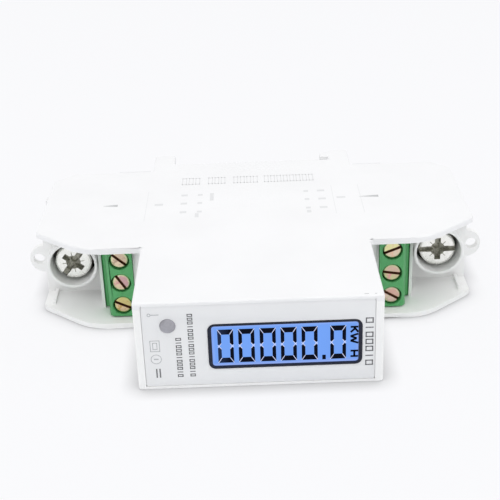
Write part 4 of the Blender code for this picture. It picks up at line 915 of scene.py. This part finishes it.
def add_frame(bm, across, along, line, low, high):
    """A flat rectangular outline on the label."""
    (left, right), (bottom, top) = across, along
    add_block(bm, (left, low, bottom), (left + line, high, top))
    add_block(bm, (right - line, low, bottom), (right, high, top))
    add_block(bm, (left, low, bottom), (right, high, bottom + line))
    add_block(bm, (left, low, top - line), (right, high, top))


def add_row(bm, across, along, count, line, low, high):
    """A row of plain small outlines and bars up the label, in place of a printed line."""
    step = (along[1] - along[0]) / count
    for index in range(count):
        bottom = along[0] + index * step
        top = bottom + step * (1.0 - ROW_SPACING)
        if index % 4 == 1:
            middle = (bottom + top) / 2
            add_block(bm, (across[0], low, middle - line / 2), (across[1], high, middle + line / 2))
        else:
            add_frame(bm, across, (bottom, top), line, low, high)


def add_ring(bm, x, height, radius, low, high):
    """A ring on the label, of the marks' line width."""
    inner = radius - MARK_LINE
    add_turned(bm, [(inner, low), (radius, low), (radius, high), (inner, high), (inner, low)],
               x, height, RING_STEPS)


def print_label(surface, ink, faint, thickness):
    """Plain marks on the label: nested squares, a ring with a bar, and rows of outlines."""
    low, high = surface - thickness, surface + INK_FOOT
    bm = bmesh.new()
    add_frame(bm, *SQUARE_MARK, MARK_LINE, low, high)
    inner = [(start + SQUARE_INSET, end - SQUARE_INSET) for start, end in SQUARE_MARK]
    add_frame(bm, *inner, MARK_LINE, low, high)
    x, height = RING_MARK_CENTRE
    add_ring(bm, x, height, RING_MARK_RADIUS, low, high)
    half_length, half_width = RING_BAR[0] / 2, RING_BAR[1] / 2
    add_block(bm, (x - half_length, low, height - half_width),
              (x + half_length, high, height + half_width))
    make_piece("label_marks", bm, faint)

    bm = bmesh.new()
    x, height = KEY_MARK_CENTRE
    half_line = KEY_MARK_LINE / 2
    add_ring(bm, x, height, KEY_MARK_RADIUS, low, high)
    add_block(bm, (x + KEY_MARK_RADIUS, low, height - half_line),
              (KEY_MARK_END, high, height + half_line))
    make_piece("label_key_mark", bm, faint)

    bm = bmesh.new()
    for (left, right), (bottom, top) in PLAIN_BARS:
        add_block(bm, (left, low, bottom), (right, high, top))
    for across, along, count in SMALL_ROWS:
        add_row(bm, across, along, count, SMALL_LINE, low, high)
    add_row(bm, *LARGE_ROW, LARGE_LINE, low, high)
    make_piece("label_rows", bm, ink)


def spread_edges(bm):
    """Moves the plate's outer edges nearer to its pocket, so that only a hairline stays open."""
    (left, _, bottom), (right, _, top) = millimetres("front_label")
    for vert in bm.verts:
        x, height = vert.co.x / MM, vert.co.z / MM
        if min(x - left, right - x) < LABEL_EDGE:
            vert.co.x += math.copysign(LABEL_SPREAD * MM, x)
        if min(height - bottom, top - height) < LABEL_EDGE:
            vert.co.z += math.copysign(LABEL_SPREAD * MM, height - MIDDLE_HEIGHT)


def narrow_openings(bm):
    """Moves the edges of the window and of the lamp's hole nearer to what they frame."""
    (left, _, bottom), (right, _, top) = millimetres("lcd_cell")
    lamp = Vector(round_part("pulse_led")[:2])
    for vert in bm.verts:
        x, height = vert.co.x / MM, vert.co.z / MM
        if (left - WINDOW_REACH < x < right + WINDOW_REACH
                and bottom - WINDOW_REACH < height < top + WINDOW_REACH):
            vert.co.x -= math.copysign(LABEL_SPREAD * MM, x - (left + right) / 2)
            vert.co.z -= math.copysign(LABEL_SPREAD * MM, height - (bottom + top) / 2)
        out = Vector((x, height)) - lamp
        if out.length < LAMP_REACH:
            vert.co.x -= out.normalized().x * LAMP_HOLE_NARROWED * MM
            vert.co.z -= out.normalized().y * LAMP_HOLE_NARROWED * MM


class METER_OT_print_label(Operator):
    """Finish the label plate over the nose and its plain print"""

    bl_idname = "meter.print_label"
    bl_label = "Print the label"

    def execute(self, context):
        settings = context.scene.meter_label
        card = moulded_finish("label_card", settings.plate, 0.5, grain=0.4, grain_depth=0.004)
        bm = node_shape("front_label")
        soften(bm, LABEL_ROUND)
        spread_edges(bm)
        narrow_openings(bm)
        make_piece("label_plate", bm, card, stands_for=("front_label",))
        surface = millimetres("front_label")[0][1]
        print_label(surface, print_finish("label_ink", settings.ink),
                    print_finish("label_faint_ink", settings.faint_ink),
                    settings.ink_thickness / MM)
        return {"FINISHED"}


# Display


FIGURES = ((-7.59, -4.72), (-3.82, -0.91), (0.05, 2.95), (3.83, 6.72), (7.61, 10.51),
           (12.80, 15.66))
DECIMAL_POINT = ((11.33, 11.98), (4.85, 5.8))
SEGMENT_GAP = 0.1
SEGMENT_THICKNESS = 0.03
UNIT_CAPS = (16.48, 17.86)
UNIT_LETTERS = (("K", 11.45, 10.35), ("W", 10.0, 8.1), ("H", 6.45, 5.3))
UNIT_LINE = 0.38
LETTER_STROKES = {
    "K": (((0.0, 0.0), (0.0, 1.0)), ((0.0, 0.42), (1.0, 1.0)), ((0.3, 0.58), (1.0, 0.0))),
    "W": (((0.0, 1.0), (0.25, 0.0)), ((0.25, 0.0), (0.5, 0.8)), ((0.5, 0.8), (0.75, 0.0)),
          ((0.75, 0.0), (1.0, 1.0))),
    "H": (((0.0, 0.0), (0.0, 1.0)), ((1.0, 0.0), (1.0, 1.0)), ((0.0, 0.5), (1.0, 0.5))),
}
MIDDLE_GAP = 0.42
MIDDLE_POINT = 0.38
INNER_CUT = 0.65
OUTER_CUT = 0.32
GROUND_LINE = 0.1
GROUND_SHARE = 0.6
BEZEL_ROUND = 0.06
WINDOW_ROUND = 0.05


def figure_sizes(settings):
    """The heights of a figure's foot, middle and top, and its segments' two widths."""
    low, high = settings.figure_low / MM, settings.figure_high / MM
    return low, (low + high) / 2, high, settings.upright_width / MM, settings.crossbar_width / MM


def add_plate(bm, outline, near, far):
    """A flat plate with an outline of points across and up, between two depths."""
    front = [bm.verts.new(spot(x, near, height)) for x, height in outline]
    back = [bm.verts.new(spot(x, far, height)) for x, height in outline]
    bm.faces.new(front)
    bm.faces.new(tuple(reversed(back)))
    for index in range(len(outline)):
        bm.faces.new((front[index - 1], back[index - 1], back[index], front[index]))


def add_figure(bm, left, right, settings, depth):
    """A nought of six segments: the level middle segment stays clear."""
    low, middle, high, upright, cross = figure_sizes(settings)
    layer = depth - SEGMENT_THICKNESS, depth
    for foot, rise in ((low, 1), (high, -1)):
        add_plate(bm, ((left + SEGMENT_GAP, foot), (right - SEGMENT_GAP, foot),
                       (right - upright - SEGMENT_GAP, foot + rise * cross),
                       (left + upright + SEGMENT_GAP, foot + rise * cross)), *layer)
        end = middle - rise * MIDDLE_GAP / 2
        for edge, sense in ((left, 1), (right, -1)):
            inside = edge + sense * upright
            add_plate(bm, ((edge, foot + rise * SEGMENT_GAP),
                           (inside, foot + rise * (cross + SEGMENT_GAP)),
                           (inside, end - rise * INNER_CUT * upright),
                           (edge + sense * MIDDLE_POINT * upright, end),
                           (edge, end - rise * OUTER_CUT * upright)), *layer)


def add_figure_ground(bm, left, right, settings, depth):
    """The fine pale lines between a figure's segments."""
    low, middle, high, upright, cross = figure_sizes(settings)
    layer = depth - SEGMENT_THICKNESS * GROUND_SHARE, depth
    for edge, sense in ((left, 1), (right, -1)):
        inside = edge + sense * upright
        point = edge + sense * MIDDLE_POINT * upright
        for foot, rise in ((low, 1), (high, -1)):
            add_stroke(bm, (edge, foot), (inside, foot + rise * cross), GROUND_LINE, *layer)
            reach = MIDDLE_GAP / 2 + INNER_CUT * upright
            add_stroke(bm, (point, middle), (inside, middle - rise * reach), GROUND_LINE, *layer)
            reach = OUTER_CUT * upright
            add_stroke(bm, (point, middle), (edge, middle - rise * reach), GROUND_LINE, *layer)


def add_unit_letter(bm, letter, top, bottom, depth):
    """A letter of the unit, turned so that its top points along the case."""
    foot, head = UNIT_CAPS
    for start, end in LETTER_STROKES[letter]:
        points = [(foot + v * (head - foot), top - u * (top - bottom)) for u, v in (start, end)]
        add_stroke(bm, *points, UNIT_LINE, depth - SEGMENT_THICKNESS, depth)


def lit_finish(name, colour, glow, roughness, patch, dip):
    """A lit layer behind clear polish: its light is a little uneven."""
    material, tree, shader, where = new_finish(name, scaled(colour, 0.1), roughness)
    uneven = noise(tree, where, patch, detail=1.0)
    light = tinted(tree, spread(tree, uneven, 0.0, 1.0), colour, scaled(colour, dip))
    tree.links.new(light, shader.inputs["Emission Color"])
    shader.inputs["Emission Strength"].default_value = glow
    shader.inputs["Coat Weight"].default_value = 0.15
    shader.inputs["Coat Roughness"].default_value = 0.08
    return material, tree, shader, where, light


def along_axis(tree, where, axis, start, end):
    """Rises from nought to one between two places in metres along an axis."""
    parts = tree.nodes.new("ShaderNodeSeparateXYZ")
    tree.links.new(where, parts.inputs["Vector"])
    return spread(tree, parts.outputs[axis], 0.0, 1.0, start, end)


def window_finish(settings, low, high):
    """The lit window, paler towards its edges where the backlight leaks."""
    material, tree, shader, where, plain = lit_finish(
        "display_blue", settings.backlight, settings.glow, 0.12, 9.0, 0.95)
    rises = [along_axis(tree, where, axis, edge, edge + sense * settings.edge_fade)
             for axis, index in (("X", 0), ("Z", 2))
             for edge, sense in ((low[index], 1), (high[index], -1))]
    least = rises[0]
    for rise in rises[1:]:
        least = combined(tree, "MINIMUM", least, rise)
    mixed = tinted(tree, least, settings.edge_glow, settings.backlight)
    tree.links.new(plain, colour_input(mixed, "B"))
    tree.links.new(mixed, shader.inputs["Emission Color"])
    return material


def figure_finish(settings):
    """The dark figures, which pale a little where they are seen at a slant."""
    material, tree, shader, where = new_finish("figure_dark", settings.segments, 0.5)
    start = FIGURES[0][0] * MM
    depth_of_tone = along_axis(tree, where, "X", start, start + settings.slant_fade)
    tree.links.new(tinted(tree, depth_of_tone, settings.slant_segments, settings.segments),
                   shader.inputs["Base Color"])
    shader.inputs["Specular IOR Level"].default_value = 0.05
    return material


class METER_OT_light_display(Operator):
    """Build the display's frame, its lit window, figures and unit"""

    bl_idname = "meter.light_display"
    bl_label = "Light the display"

    def execute(self, context):
        settings = context.scene.meter_display
        frame_plastic = moulded_finish("bezel_plastic", settings.bezel, 0.28, grain=0.5,
                                       grain_depth=0.003, tone=0.8)
        shader = frame_plastic.node_tree.nodes["Principled BSDF"]
        shader.inputs["Specular IOR Level"].default_value = 0.3
        bm = node_shape("display_bezel")
        soften(bm, BEZEL_ROUND)
        make_piece("bezel_frame", bm, frame_plastic, stands_for=("display_bezel",))
        window = window_finish(settings, *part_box("lcd_cell"))
        bm = node_shape("lcd_cell")
        soften(bm, WINDOW_ROUND)
        make_piece("display_window", bm, window, stands_for=("lcd_cell",))

        depth = millimetres("lcd_cell")[0][1]
        bm = bmesh.new()
        for left, right in FIGURES:
            add_figure_ground(bm, left, right, settings, depth)
        ground = lit_finish("figure_ground", settings.segment_gaps, settings.glow, 0.2, 3.0, 0.95)
        make_piece("figure_gaps", bm, ground[0])

        bm = bmesh.new()
        for left, right in FIGURES:
            add_figure(bm, left, right, settings, depth)
        (left, right), (bottom, top) = DECIMAL_POINT
        add_block(bm, (left, depth - SEGMENT_THICKNESS, bottom), (right, depth, top))
        for letter, top, bottom in UNIT_LETTERS:
            add_unit_letter(bm, letter, top, bottom, depth)
        make_piece("display_figures", bm, figure_finish(settings))
        return {"FINISHED"}


# Pulse lamp


LENS_INSET = 0.35
LENS_RISE = 0.45
LENS_ARC_STEPS = 12
FLANGE_THICKNESS = 1.0
FLANGE_ROUND = 0.05
# Where the painted shade at the lens's lower left fades in, along a slant through its centre.
PAINTED_SHADE_RANGE = (-1.45, -0.85)


def lens_finish(settings, centre):
    """Cloudy grey moulded resin, with painted shade that darkens it towards its lower left."""
    material, tree, shader, where = new_finish("lamp_lens", settings.lens, 0.35)
    local = centred(tree, where, centre)
    specks = noise(tree, local, 0.5, detail=3.0, rough=0.6)
    cloudy = tinted(tree, spread(tree, specks, 0.0, 1.0), settings.lens,
                    scaled(settings.lens, 1.12))
    # Painted shade: the tone falls towards the lens's lower left.
    lower_left_axis = turned(tree, local, math.radians(-45.0))
    low_left = along_axis(tree, lower_left_axis, "X", *(edge * MM for edge in PAINTED_SHADE_RANGE))
    shaded = tinted(tree, low_left, scaled(settings.lens, settings.lower_left_painted_shade), settings.lens)
    tree.links.new(cloudy, colour_input(shaded, "B"))
    tree.links.new(shaded, shader.inputs["Base Color"])
    shader.inputs["Specular IOR Level"].default_value = 0.35
    add_bump(tree, shader, noise(tree, where, 0.4, detail=2.0), 0.15, 0.01)
    return material


class METER_OT_fit_pulse_lamp(Operator):
    """Turn the pulse lamp's lens"""

    bl_idname = "meter.fit_pulse_lamp"
    bl_label = "Fit the pulse lamp"

    def execute(self, context):
        settings = context.scene.meter_lamp
        x, height, collar, front, back = round_part("pulse_led")
        lens = collar - LENS_INSET + settings.lens_spread / MM
        rise = LENS_RISE * lens
        angles = [math.radians(90.0) * step / LENS_ARC_STEPS
                  for step in range(LENS_ARC_STEPS + 1)]
        profile = [(lens * math.sin(angle), front + rise * (1 - math.cos(angle)))
                   for angle in angles]
        flange = back - FLANGE_THICKNESS
        profile += [(lens, flange), (collar - FLANGE_ROUND, flange),
                    (collar, flange + FLANGE_ROUND), (collar, back - FLANGE_ROUND),
                    (collar - FLANGE_ROUND, back), (0.0, back)]
        bm = bmesh.new()
        add_turned(bm, profile, x, height, settings.steps)
        material = lens_finish(settings, spot(x, front, height))
        make_piece("lamp_lens", bm, material, stands_for=("pulse_led",))
        return {"FINISHED"}


# Main terminals


MAIN_SCREW = {
    "shrunk": 0.12, "head_height": 3.0, "under": 0.1,
    "rim": ((0.6, 0.0), (0.36, 0.03), (0.16, 0.11), (0.04, 0.25), (0.0, 0.42)),
    "shank": 2.85, "core": 2.35, "tip": 1.95, "taper": 0.4, "steps": 72,
    "thread_start": 3.6, "pitch": 1.0, "crest": 0.55, "thread_steps": 36,
}
STRIKE_MARK = (4.6, 0.16, 0.09)
CONE_DEPTH = 0.9
CONE_LENGTH = 2.8
CONE_RADII = (1.75, 0.5)
CONE_STEPS = 32
CLAMP_TONES = ((0.55, 0.54, 0.5), (0.4, 0.39, 0.36))
CLAMP_ROUND = 0.12


def turn_screw(node, shape, cutters, finish, recess):
    """Turns a terminal screw, cuts its recesses and winds its thread round it."""
    x, height, radius, front, back = round_part(node)
    profile = screw_profile(shape, radius - shape["shrunk"], front, back)
    bm = bmesh.new()
    add_turned(bm, profile, x, height, shape["steps"])
    bmesh.ops.recalc_face_normals(bm, faces=bm.faces)
    bm = carve(bm, cutters, (finish, recess))
    add_thread(bm, x, height, shape["shank"], front + shape["thread_start"],
               back - shape["taper"], shape["pitch"], shape["crest"], shape["thread_steps"])
    make_piece(f"{node}_turned", bm, finish, body=node, stands_for=(node,), crease=30.0,
               second=recess)


def full_slot(node, shape, settings, turn):
    """The cutter of a slot right across a screw's head."""
    x, height, radius, front, _ = round_part(node)
    return slot_cutter(spot(x, front, height), 2 * (radius - shape["shrunk"]) + SLOT_OVERRUN,
                       settings.slot_width / MM, settings.slot_depth / MM, turn)


def make_main_screw(side, turn, settings):
    """A large captive screw: a full slot with a cross in it, and fine strike marks."""
    node = f"main_screw_{side}"
    x, height, _, front, _ = round_part(node)
    face = spot(x, front, height)
    cross = [size / MM for size in (settings.cross_length, settings.cross_width,
                                    settings.cross_depth)]
    cutters = [full_slot(node, MAIN_SCREW, settings, turn)]
    cutters += [slot_cutter(face, *cross, turn + math.radians(more)) for more in (0.0, 90.0)]
    cutters += [slot_cutter(face, *STRIKE_MARK, turn + math.radians(more))
                for more in (45.0, 135.0)]
    cone = bmesh.new()
    wide, narrow = (radius * MM for radius in CONE_RADII)
    matrix = Matrix.Translation(spot(x, front + CONE_DEPTH, height))
    matrix = matrix @ Matrix.Rotation(math.radians(-90.0), 4, "X")
    bmesh.ops.create_cone(cone, cap_ends=True, cap_tris=False, segments=CONE_STEPS, radius1=wide,
                          radius2=narrow, depth=CONE_LENGTH * MM, matrix=matrix)
    cutters.append(cone)
    finish = plated_finish(f"nickel_{side}", settings.bright, settings.shade, 0.3, face,
                           patch=2.2, relief=0.35)
    recess = shaded_recess_finish(f"nickel_recess_{side}", settings.recess)
    turn_screw(node, MAIN_SCREW, cutters, finish, recess)


class METER_OT_cut_main_screws(Operator):
    """Turn and cut both large terminal screws and finish their clamps"""

    bl_idname = "meter.cut_main_screws"
    bl_label = "Cut the main screws"

    def execute(self, context):
        settings = context.scene.meter_main_screws
        make_main_screw("left", settings.left_slot, settings)
        make_main_screw("right", settings.right_slot, settings)
        for side in SIDES:
            node = f"main_clamp_{side}"
            steel = plated_finish(f"clamp_steel_{side}", *CLAMP_TONES, 0.4,
                                  sum(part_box(node), Vector()) / 2, patch=2.5, ring_spacing=0.5)
            bm = node_shape(node)
            soften(bm, CLAMP_ROUND)
            make_piece(f"clamp_{side}_frame", bm, steel, body=node,
                       stands_for=(node,), crease=40.0)
        return {"FINISHED"}


# Signal terminals


SIGNAL_SCREW = {
    "shrunk": 0.06, "head_height": 1.5, "under": 0.06,
    "rim": ((0.32, 0.0), (0.14, 0.04), (0.03, 0.14), (0.0, 0.28)),
    "shank": 1.15, "core": 0.9, "tip": 0.65, "taper": 0.2, "steps": 48,
    "thread_start": 1.7, "pitch": 0.5, "crest": 0.28, "thread_steps": 24,
}
BLOCK_SPREAD = 0.24
CHAMFER_GROWN = 0.45
FACE_STEP = 0.3
SIGNAL_SCREW_TURNS_DEG = {"left": (-26.0, -58.0, -42.0), "right": (-32.0, -9.0, 21.0)}
# A pale tone for a painted highlight on a small screw's rim.
PALE_RIM_HIGHLIGHT = (0.72, 0.78, 0.47)
# Each small screw's tones: above and below its slot, its flecks, and its painted rim highlight.
PASSIVATION_AND_HIGHLIGHT = {
    "left": (
        ((0.60, 0.52, 0.22), (0.72, 0.55, 0.36), (0.55, 0.36, 0.12), (0.60, 0.62, 0.26)),
        ((0.58, 0.37, 0.37), (0.74, 0.60, 0.41), (0.66, 0.36, 0.34), PALE_RIM_HIGHLIGHT),
        ((0.62, 0.49, 0.36), (0.75, 0.62, 0.44), (0.45, 0.33, 0.24), PALE_RIM_HIGHLIGHT),
    ),
    "right": (
        ((0.64, 0.40, 0.33), (0.74, 0.55, 0.48), (0.62, 0.54, 0.38), (0.66, 0.62, 0.42)),
        ((0.62, 0.48, 0.36), (0.59, 0.56, 0.32), (0.72, 0.36, 0.35), (0.60, 0.63, 0.36)),
        ((0.80, 0.76, 0.40), (0.75, 0.61, 0.47), (0.78, 0.52, 0.38), (0.80, 0.80, 0.48)),
    ),
}


def make_signal_screw(side, index, settings):
    """A small slotted screw in yellow passivated zinc."""
    node = f"signal_screw_{side}_{index}"
    x, height, radius, front, _ = round_part(node)
    turn = math.radians(SIGNAL_SCREW_TURNS_DEG[side][index - 1])
    finish = passivated_finish_with_highlight(f"passivated_{side}_{index}", PASSIVATION_AND_HIGHLIGHT[side][index - 1],
                               spot(x, front, height), turn, radius - SIGNAL_SCREW["shrunk"])
    recess = shaded_recess_finish(f"passivated_recess_{side}_{index}", settings.recess)
    turn_screw(node, SIGNAL_SCREW, [full_slot(node, SIGNAL_SCREW, settings, turn)], finish,
               recess)


def set_finish(node, finish):
    """Gives a CAD node that stays a finish of its own."""
    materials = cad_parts[node].data.materials
    materials.clear()
    materials.append(finish)


def shape_block(bm, low, high):
    """Moves a block's sides nearer to the walls beside it and widens the chamfer of its face."""
    def near(value, other):
        return abs(value - other) < CLOSE * MM
    outer = max(abs(low.x), abs(high.x))
    face_inner = min(abs(vert.co.x) for vert in bm.verts if near(vert.co.y, low.y))
    face_outer = max(abs(vert.co.x) for vert in bm.verts if vert.co.y < low.y + FACE_STEP * MM)
    for vert in bm.verts:
        reach = abs(vert.co.x)
        grown = 0.0
        if near(reach, outer):
            grown = BLOCK_SPREAD
        elif near(reach, face_inner):
            grown = -BLOCK_SPREAD
        elif near(reach, face_outer):
            grown = CHAMFER_GROWN
            if vert.co.y < low.y + FACE_STEP * MM:
                vert.co.y += CHAMFER_GROWN * MM
        vert.co.x = math.copysign(reach + grown * MM, vert.co.x)


class METER_OT_fit_signal_terminals(Operator):
    """Finish the green blocks, their screws, cages and contacts"""

    bl_idname = "meter.fit_signal_terminals"
    bl_label = "Fit the signal terminals"

    def execute(self, context):
        settings = context.scene.meter_signal_terminals
        green = moulded_finish("block_green", settings.housing, 0.4, grain=0.3, tone=0.85)
        cage = plated_finish("cage_steel", (0.55, 0.53, 0.46), (0.42, 0.4, 0.34), 0.38, ORIGIN,
                             patch=1.0, ring_spacing=0.4)
        tin = plated_finish("contact_tin", (0.66, 0.66, 0.64), (0.52, 0.52, 0.5), 0.35, ORIGIN,
                            patch=1.0, ring_spacing=0.4)
        for side in SIDES:
            node = f"signal_block_{side}"
            bm = node_shape(node)
            shape_block(bm, *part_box(node))
            soften(bm, settings.housing_round / MM)
            make_piece(f"{node}_housing", bm, green, stands_for=(node,),
                       crease=50.0, even=True)
            for index in POLES:
                make_signal_screw(side, index, settings)
                set_finish(f"signal_clamp_{side}_{index}", cage)
                set_finish(f"signal_contact_{side}_{index}", tin)
        return {"FINISHED"}


# Inner parts


class METER_OT_finish_inner_parts(Operator):
    """Finish the boards, busbars and parts inside the case"""

    bl_idname = "meter.finish_inner_parts"
    bl_label = "Finish the inner parts"

    def execute(self, context):
        boards = moulded_finish("board_green", (0.02, 0.16, 0.05), 0.35, grain=0.8, tone=0.7)
        for node in ("display_board", "terminal_board", "logic_board", "power_board"):
            set_finish(node, boards)
        chips = moulded_finish("chip_black", (0.02, 0.02, 0.022), 0.5, grain=0.2, tone=0.8)
        for node in ("microcontroller", "metering_chip", "bus_transceiver", "display_header",
                     "board_header"):
            set_finish(node, chips)
        copper = plated_finish("busbar_copper", (0.9, 0.5, 0.32), (0.75, 0.36, 0.22), 0.3, ORIGIN)
        for node in ("busbar_left", "busbar_right"):
            set_finish(node, copper)
        set_finish("current_shunt", plated_finish("shunt_alloy", (0.7, 0.56, 0.42),
                                                  (0.6, 0.48, 0.36), 0.35, ORIGIN))
        set_finish("clock_crystal", plated_finish("crystal_can", (0.7, 0.7, 0.68),
                                                  (0.55, 0.55, 0.54), 0.25, ORIGIN))
        for node, name, colour, roughness in (
                ("lcd_backlight", "diffuser", (0.85, 0.86, 0.88), 0.5),
                ("pulse_optocoupler", "opto_cream", (0.75, 0.74, 0.68), 0.5),
                ("data_optocoupler", "opto_cream_too", (0.75, 0.74, 0.68), 0.5),
                ("film_capacitor", "film_yellow", (0.7, 0.45, 0.05), 0.4),
                ("varistor", "varistor_blue", (0.03, 0.1, 0.4), 0.35),
                ("reservoir_capacitor", "sleeve_black", (0.02, 0.02, 0.03), 0.4),
                ("supply_inductor", "ferrite_grey", (0.09, 0.09, 0.1), 0.6),
                ("fuse_resistor", "resistor_cream", (0.6, 0.56, 0.44), 0.5)):
            set_finish(node, moulded_finish(name, colour, roughness, tone=0.85))
        return {"FINISHED"}


# Print and painted shadow lines on the large side


SIDE_INK = 0.012
SIDE_LINE = 0.16
SIDE_FRAME_LINES = ((-22.7, 35.5, 50.9), (22.8, 36.0, 51.0), (17.0, 36.0, 51.0))
# Painted shadow lines where the large side meets its rear edges.
SIDE_SHADOW_LINES = ((-30.1, -23.0, 63.0), (22.9, 29.3, 63.0))
SIDE_TABLE_ROWS = (48.3, 43.9, 39.4)
SIDE_TABLE_COLUMNS = ((-15.5, -14.1), (-11.9, -10.9), (10.9, 11.9), (13.8, 15.4))
SIDE_TABLE_EXTRAS = (((-9.3, -8.5), (45.0, 49.0)), ((-12.3, -11.5), (36.6, 38.6)),
                     ((-21.0, -19.2), (43.2, 44.2)), ((17.7, 19.6), (43.9, 44.7)),
                     ((11.0, 11.9), (36.9, 38.2)))
SIDE_WORDS = ((-15.6, -11.2, 3), (-9.8, -5.6, 3), (-4.2, 1.6, 4), (2.6, 13.9, 8))
SIDE_WORD_DEPTH = (54.2, 57.9)
# A short painted shadow line at a rear edge by the rail's recess.
SIDE_SHADOW_DASH = (15.8, 17.5, 67.1)
LETTER_SPACING = 0.3
NOSE_NICKS = ((18.9, 19.7), (20.8, 21.15))
NICK_DEPTH = (0.72, 0.92)
SIDE_ARROWS = ((-31.96, -28.86, 44.0), (22.5, 26.6, 44.3))
ARROW_HALF = 0.55
ARROW_TIP_SHARE = 0.06
TABLE_FIELD_HALF = 0.45


def side_bar(bm, x0, x1, depth0, depth1):
    """A flat bar on the large side; returns its vertices."""
    return add_block(bm, (x0, depth0, SIDE_TOP - INK_FOOT), (x1, depth1, SIDE_TOP + SIDE_INK))


def side_frame(bm, x0, x1, depth0, depth1):
    """A plain outline in place of a printed letter."""
    side_bar(bm, x0, x0 + SIDE_LINE, depth0, depth1)
    side_bar(bm, x1 - SIDE_LINE, x1, depth0, depth1)
    side_bar(bm, x0, x1, depth0, depth0 + 2 * SIDE_LINE)
    side_bar(bm, x0, x1, depth1 - 2 * SIDE_LINE, depth1)


def side_arrow(bm, tip, base, depth):
    """A flat wedge that points along the case."""
    verts = side_bar(bm, min(tip, base), max(tip, base), depth - ARROW_HALF, depth + ARROW_HALF)
    centre = FRONT + depth * MM
    for vert in verts:
        if abs(vert.co.x / MM - tip) < CLOSE:
            vert.co.y = centre + (vert.co.y - centre) * ARROW_TIP_SHARE


class METER_OT_print_side(Operator):
    """Print the faint plain marks on the large upper side, and paint shadow lines at its rear edges
    """

    bl_idname = "meter.print_side"
    bl_label = "Print the side"

    def execute(self, context):
        settings = context.scene.meter_case
        arrows = bmesh.new()
        for arrow in SIDE_ARROWS:
            side_arrow(arrows, *arrow)
        for start, end in NOSE_NICKS:
            side_bar(arrows, start, end, *NICK_DEPTH)

        words = bmesh.new()
        for start, end, count in SIDE_WORDS:
            step = (end - start) / count
            for index in range(count):
                left = start + index * step
                side_frame(words, left, left + step * (1.0 - LETTER_SPACING), *SIDE_WORD_DEPTH)
        for start, end in SIDE_TABLE_COLUMNS:
            for depth in SIDE_TABLE_ROWS:
                side_bar(words, start, end, depth - TABLE_FIELD_HALF, depth + TABLE_FIELD_HALF)
        for across, along in SIDE_TABLE_EXTRAS:
            side_bar(words, *across, *along)

        lines = bmesh.new()
        for x, start, end in SIDE_FRAME_LINES:
            side_bar(lines, x - SIDE_LINE / 2, x + SIDE_LINE / 2, start, end)
        # The long and short lines here are painted shadow lines at the rear edges.
        for start, end, depth in (*SIDE_SHADOW_LINES, SIDE_SHADOW_DASH):
            side_bar(lines, start, end, depth - SIDE_LINE, depth + SIDE_LINE)
        for name, bm, finish, ink, wear in (
                ("side_arrows", arrows, "side_arrow_ink", settings.arrow_ink, 0.9),
                ("side_words", words, "side_ink", settings.side_ink, 0.8),
                ("side_lines_and_shadows", lines, "side_line_and_shadow_ink", settings.side_line_and_shadow_ink, 0.8)):
            make_piece(name, bm, print_finish(finish, ink, wear))
        return {"FINISHED"}


# Panel and running


STEPS = (METER_OT_set_stage, METER_OT_finish_case, METER_OT_print_side, METER_OT_print_label,
         METER_OT_light_display, METER_OT_fit_pulse_lamp, METER_OT_cut_main_screws,
         METER_OT_fit_signal_terminals, METER_OT_finish_inner_parts)
SETTINGS = (("meter_stage", MeterStageSettings), ("meter_case", MeterCaseSettings),
            ("meter_label", MeterLabelSettings), ("meter_display", MeterDisplaySettings),
            ("meter_lamp", MeterLampSettings), ("meter_main_screws", MeterMainScrewSettings),
            ("meter_signal_terminals", MeterSignalTerminalSettings))


class METER_PT_dressing(Panel):
    """The meter's settings and the steps that dress it"""

    bl_idname = "METER_PT_dressing"
    bl_label = "Meter dressing"
    bl_space_type = "VIEW_3D"
    bl_region_type = "UI"
    bl_category = "Meter"

    def draw(self, context):
        for name, kind in SETTINGS:
            box = self.layout.box()
            box.label(text=kind.__doc__)
            for setting in kind.__annotations__:
                box.prop(getattr(context.scene, name), setting)
        for step in STEPS:
            self.layout.operator(step.bl_idname)


def register():
    for name, kind in SETTINGS:
        bpy.utils.register_class(kind)
        setattr(bpy.types.Scene, name, PointerProperty(type=kind))
    for kind in (*STEPS, METER_PT_dressing):
        bpy.utils.register_class(kind)


def unregister():
    for kind in reversed((*STEPS, METER_PT_dressing)):
        bpy.utils.unregister_class(kind)
    for name, kind in reversed(SETTINGS):
        delattr(bpy.types.Scene, name)
        bpy.utils.unregister_class(kind)


def main():
    register()
    bpy.ops.meter.set_stage()
    bpy.ops.meter.finish_case()
    bpy.ops.meter.print_side()
    bpy.ops.meter.print_label()
    bpy.ops.meter.light_display()
    bpy.ops.meter.fit_pulse_lamp()
    bpy.ops.meter.cut_main_screws()
    bpy.ops.meter.fit_signal_terminals()
    bpy.ops.meter.finish_inner_parts()


if __name__ == "__main__":
    main()
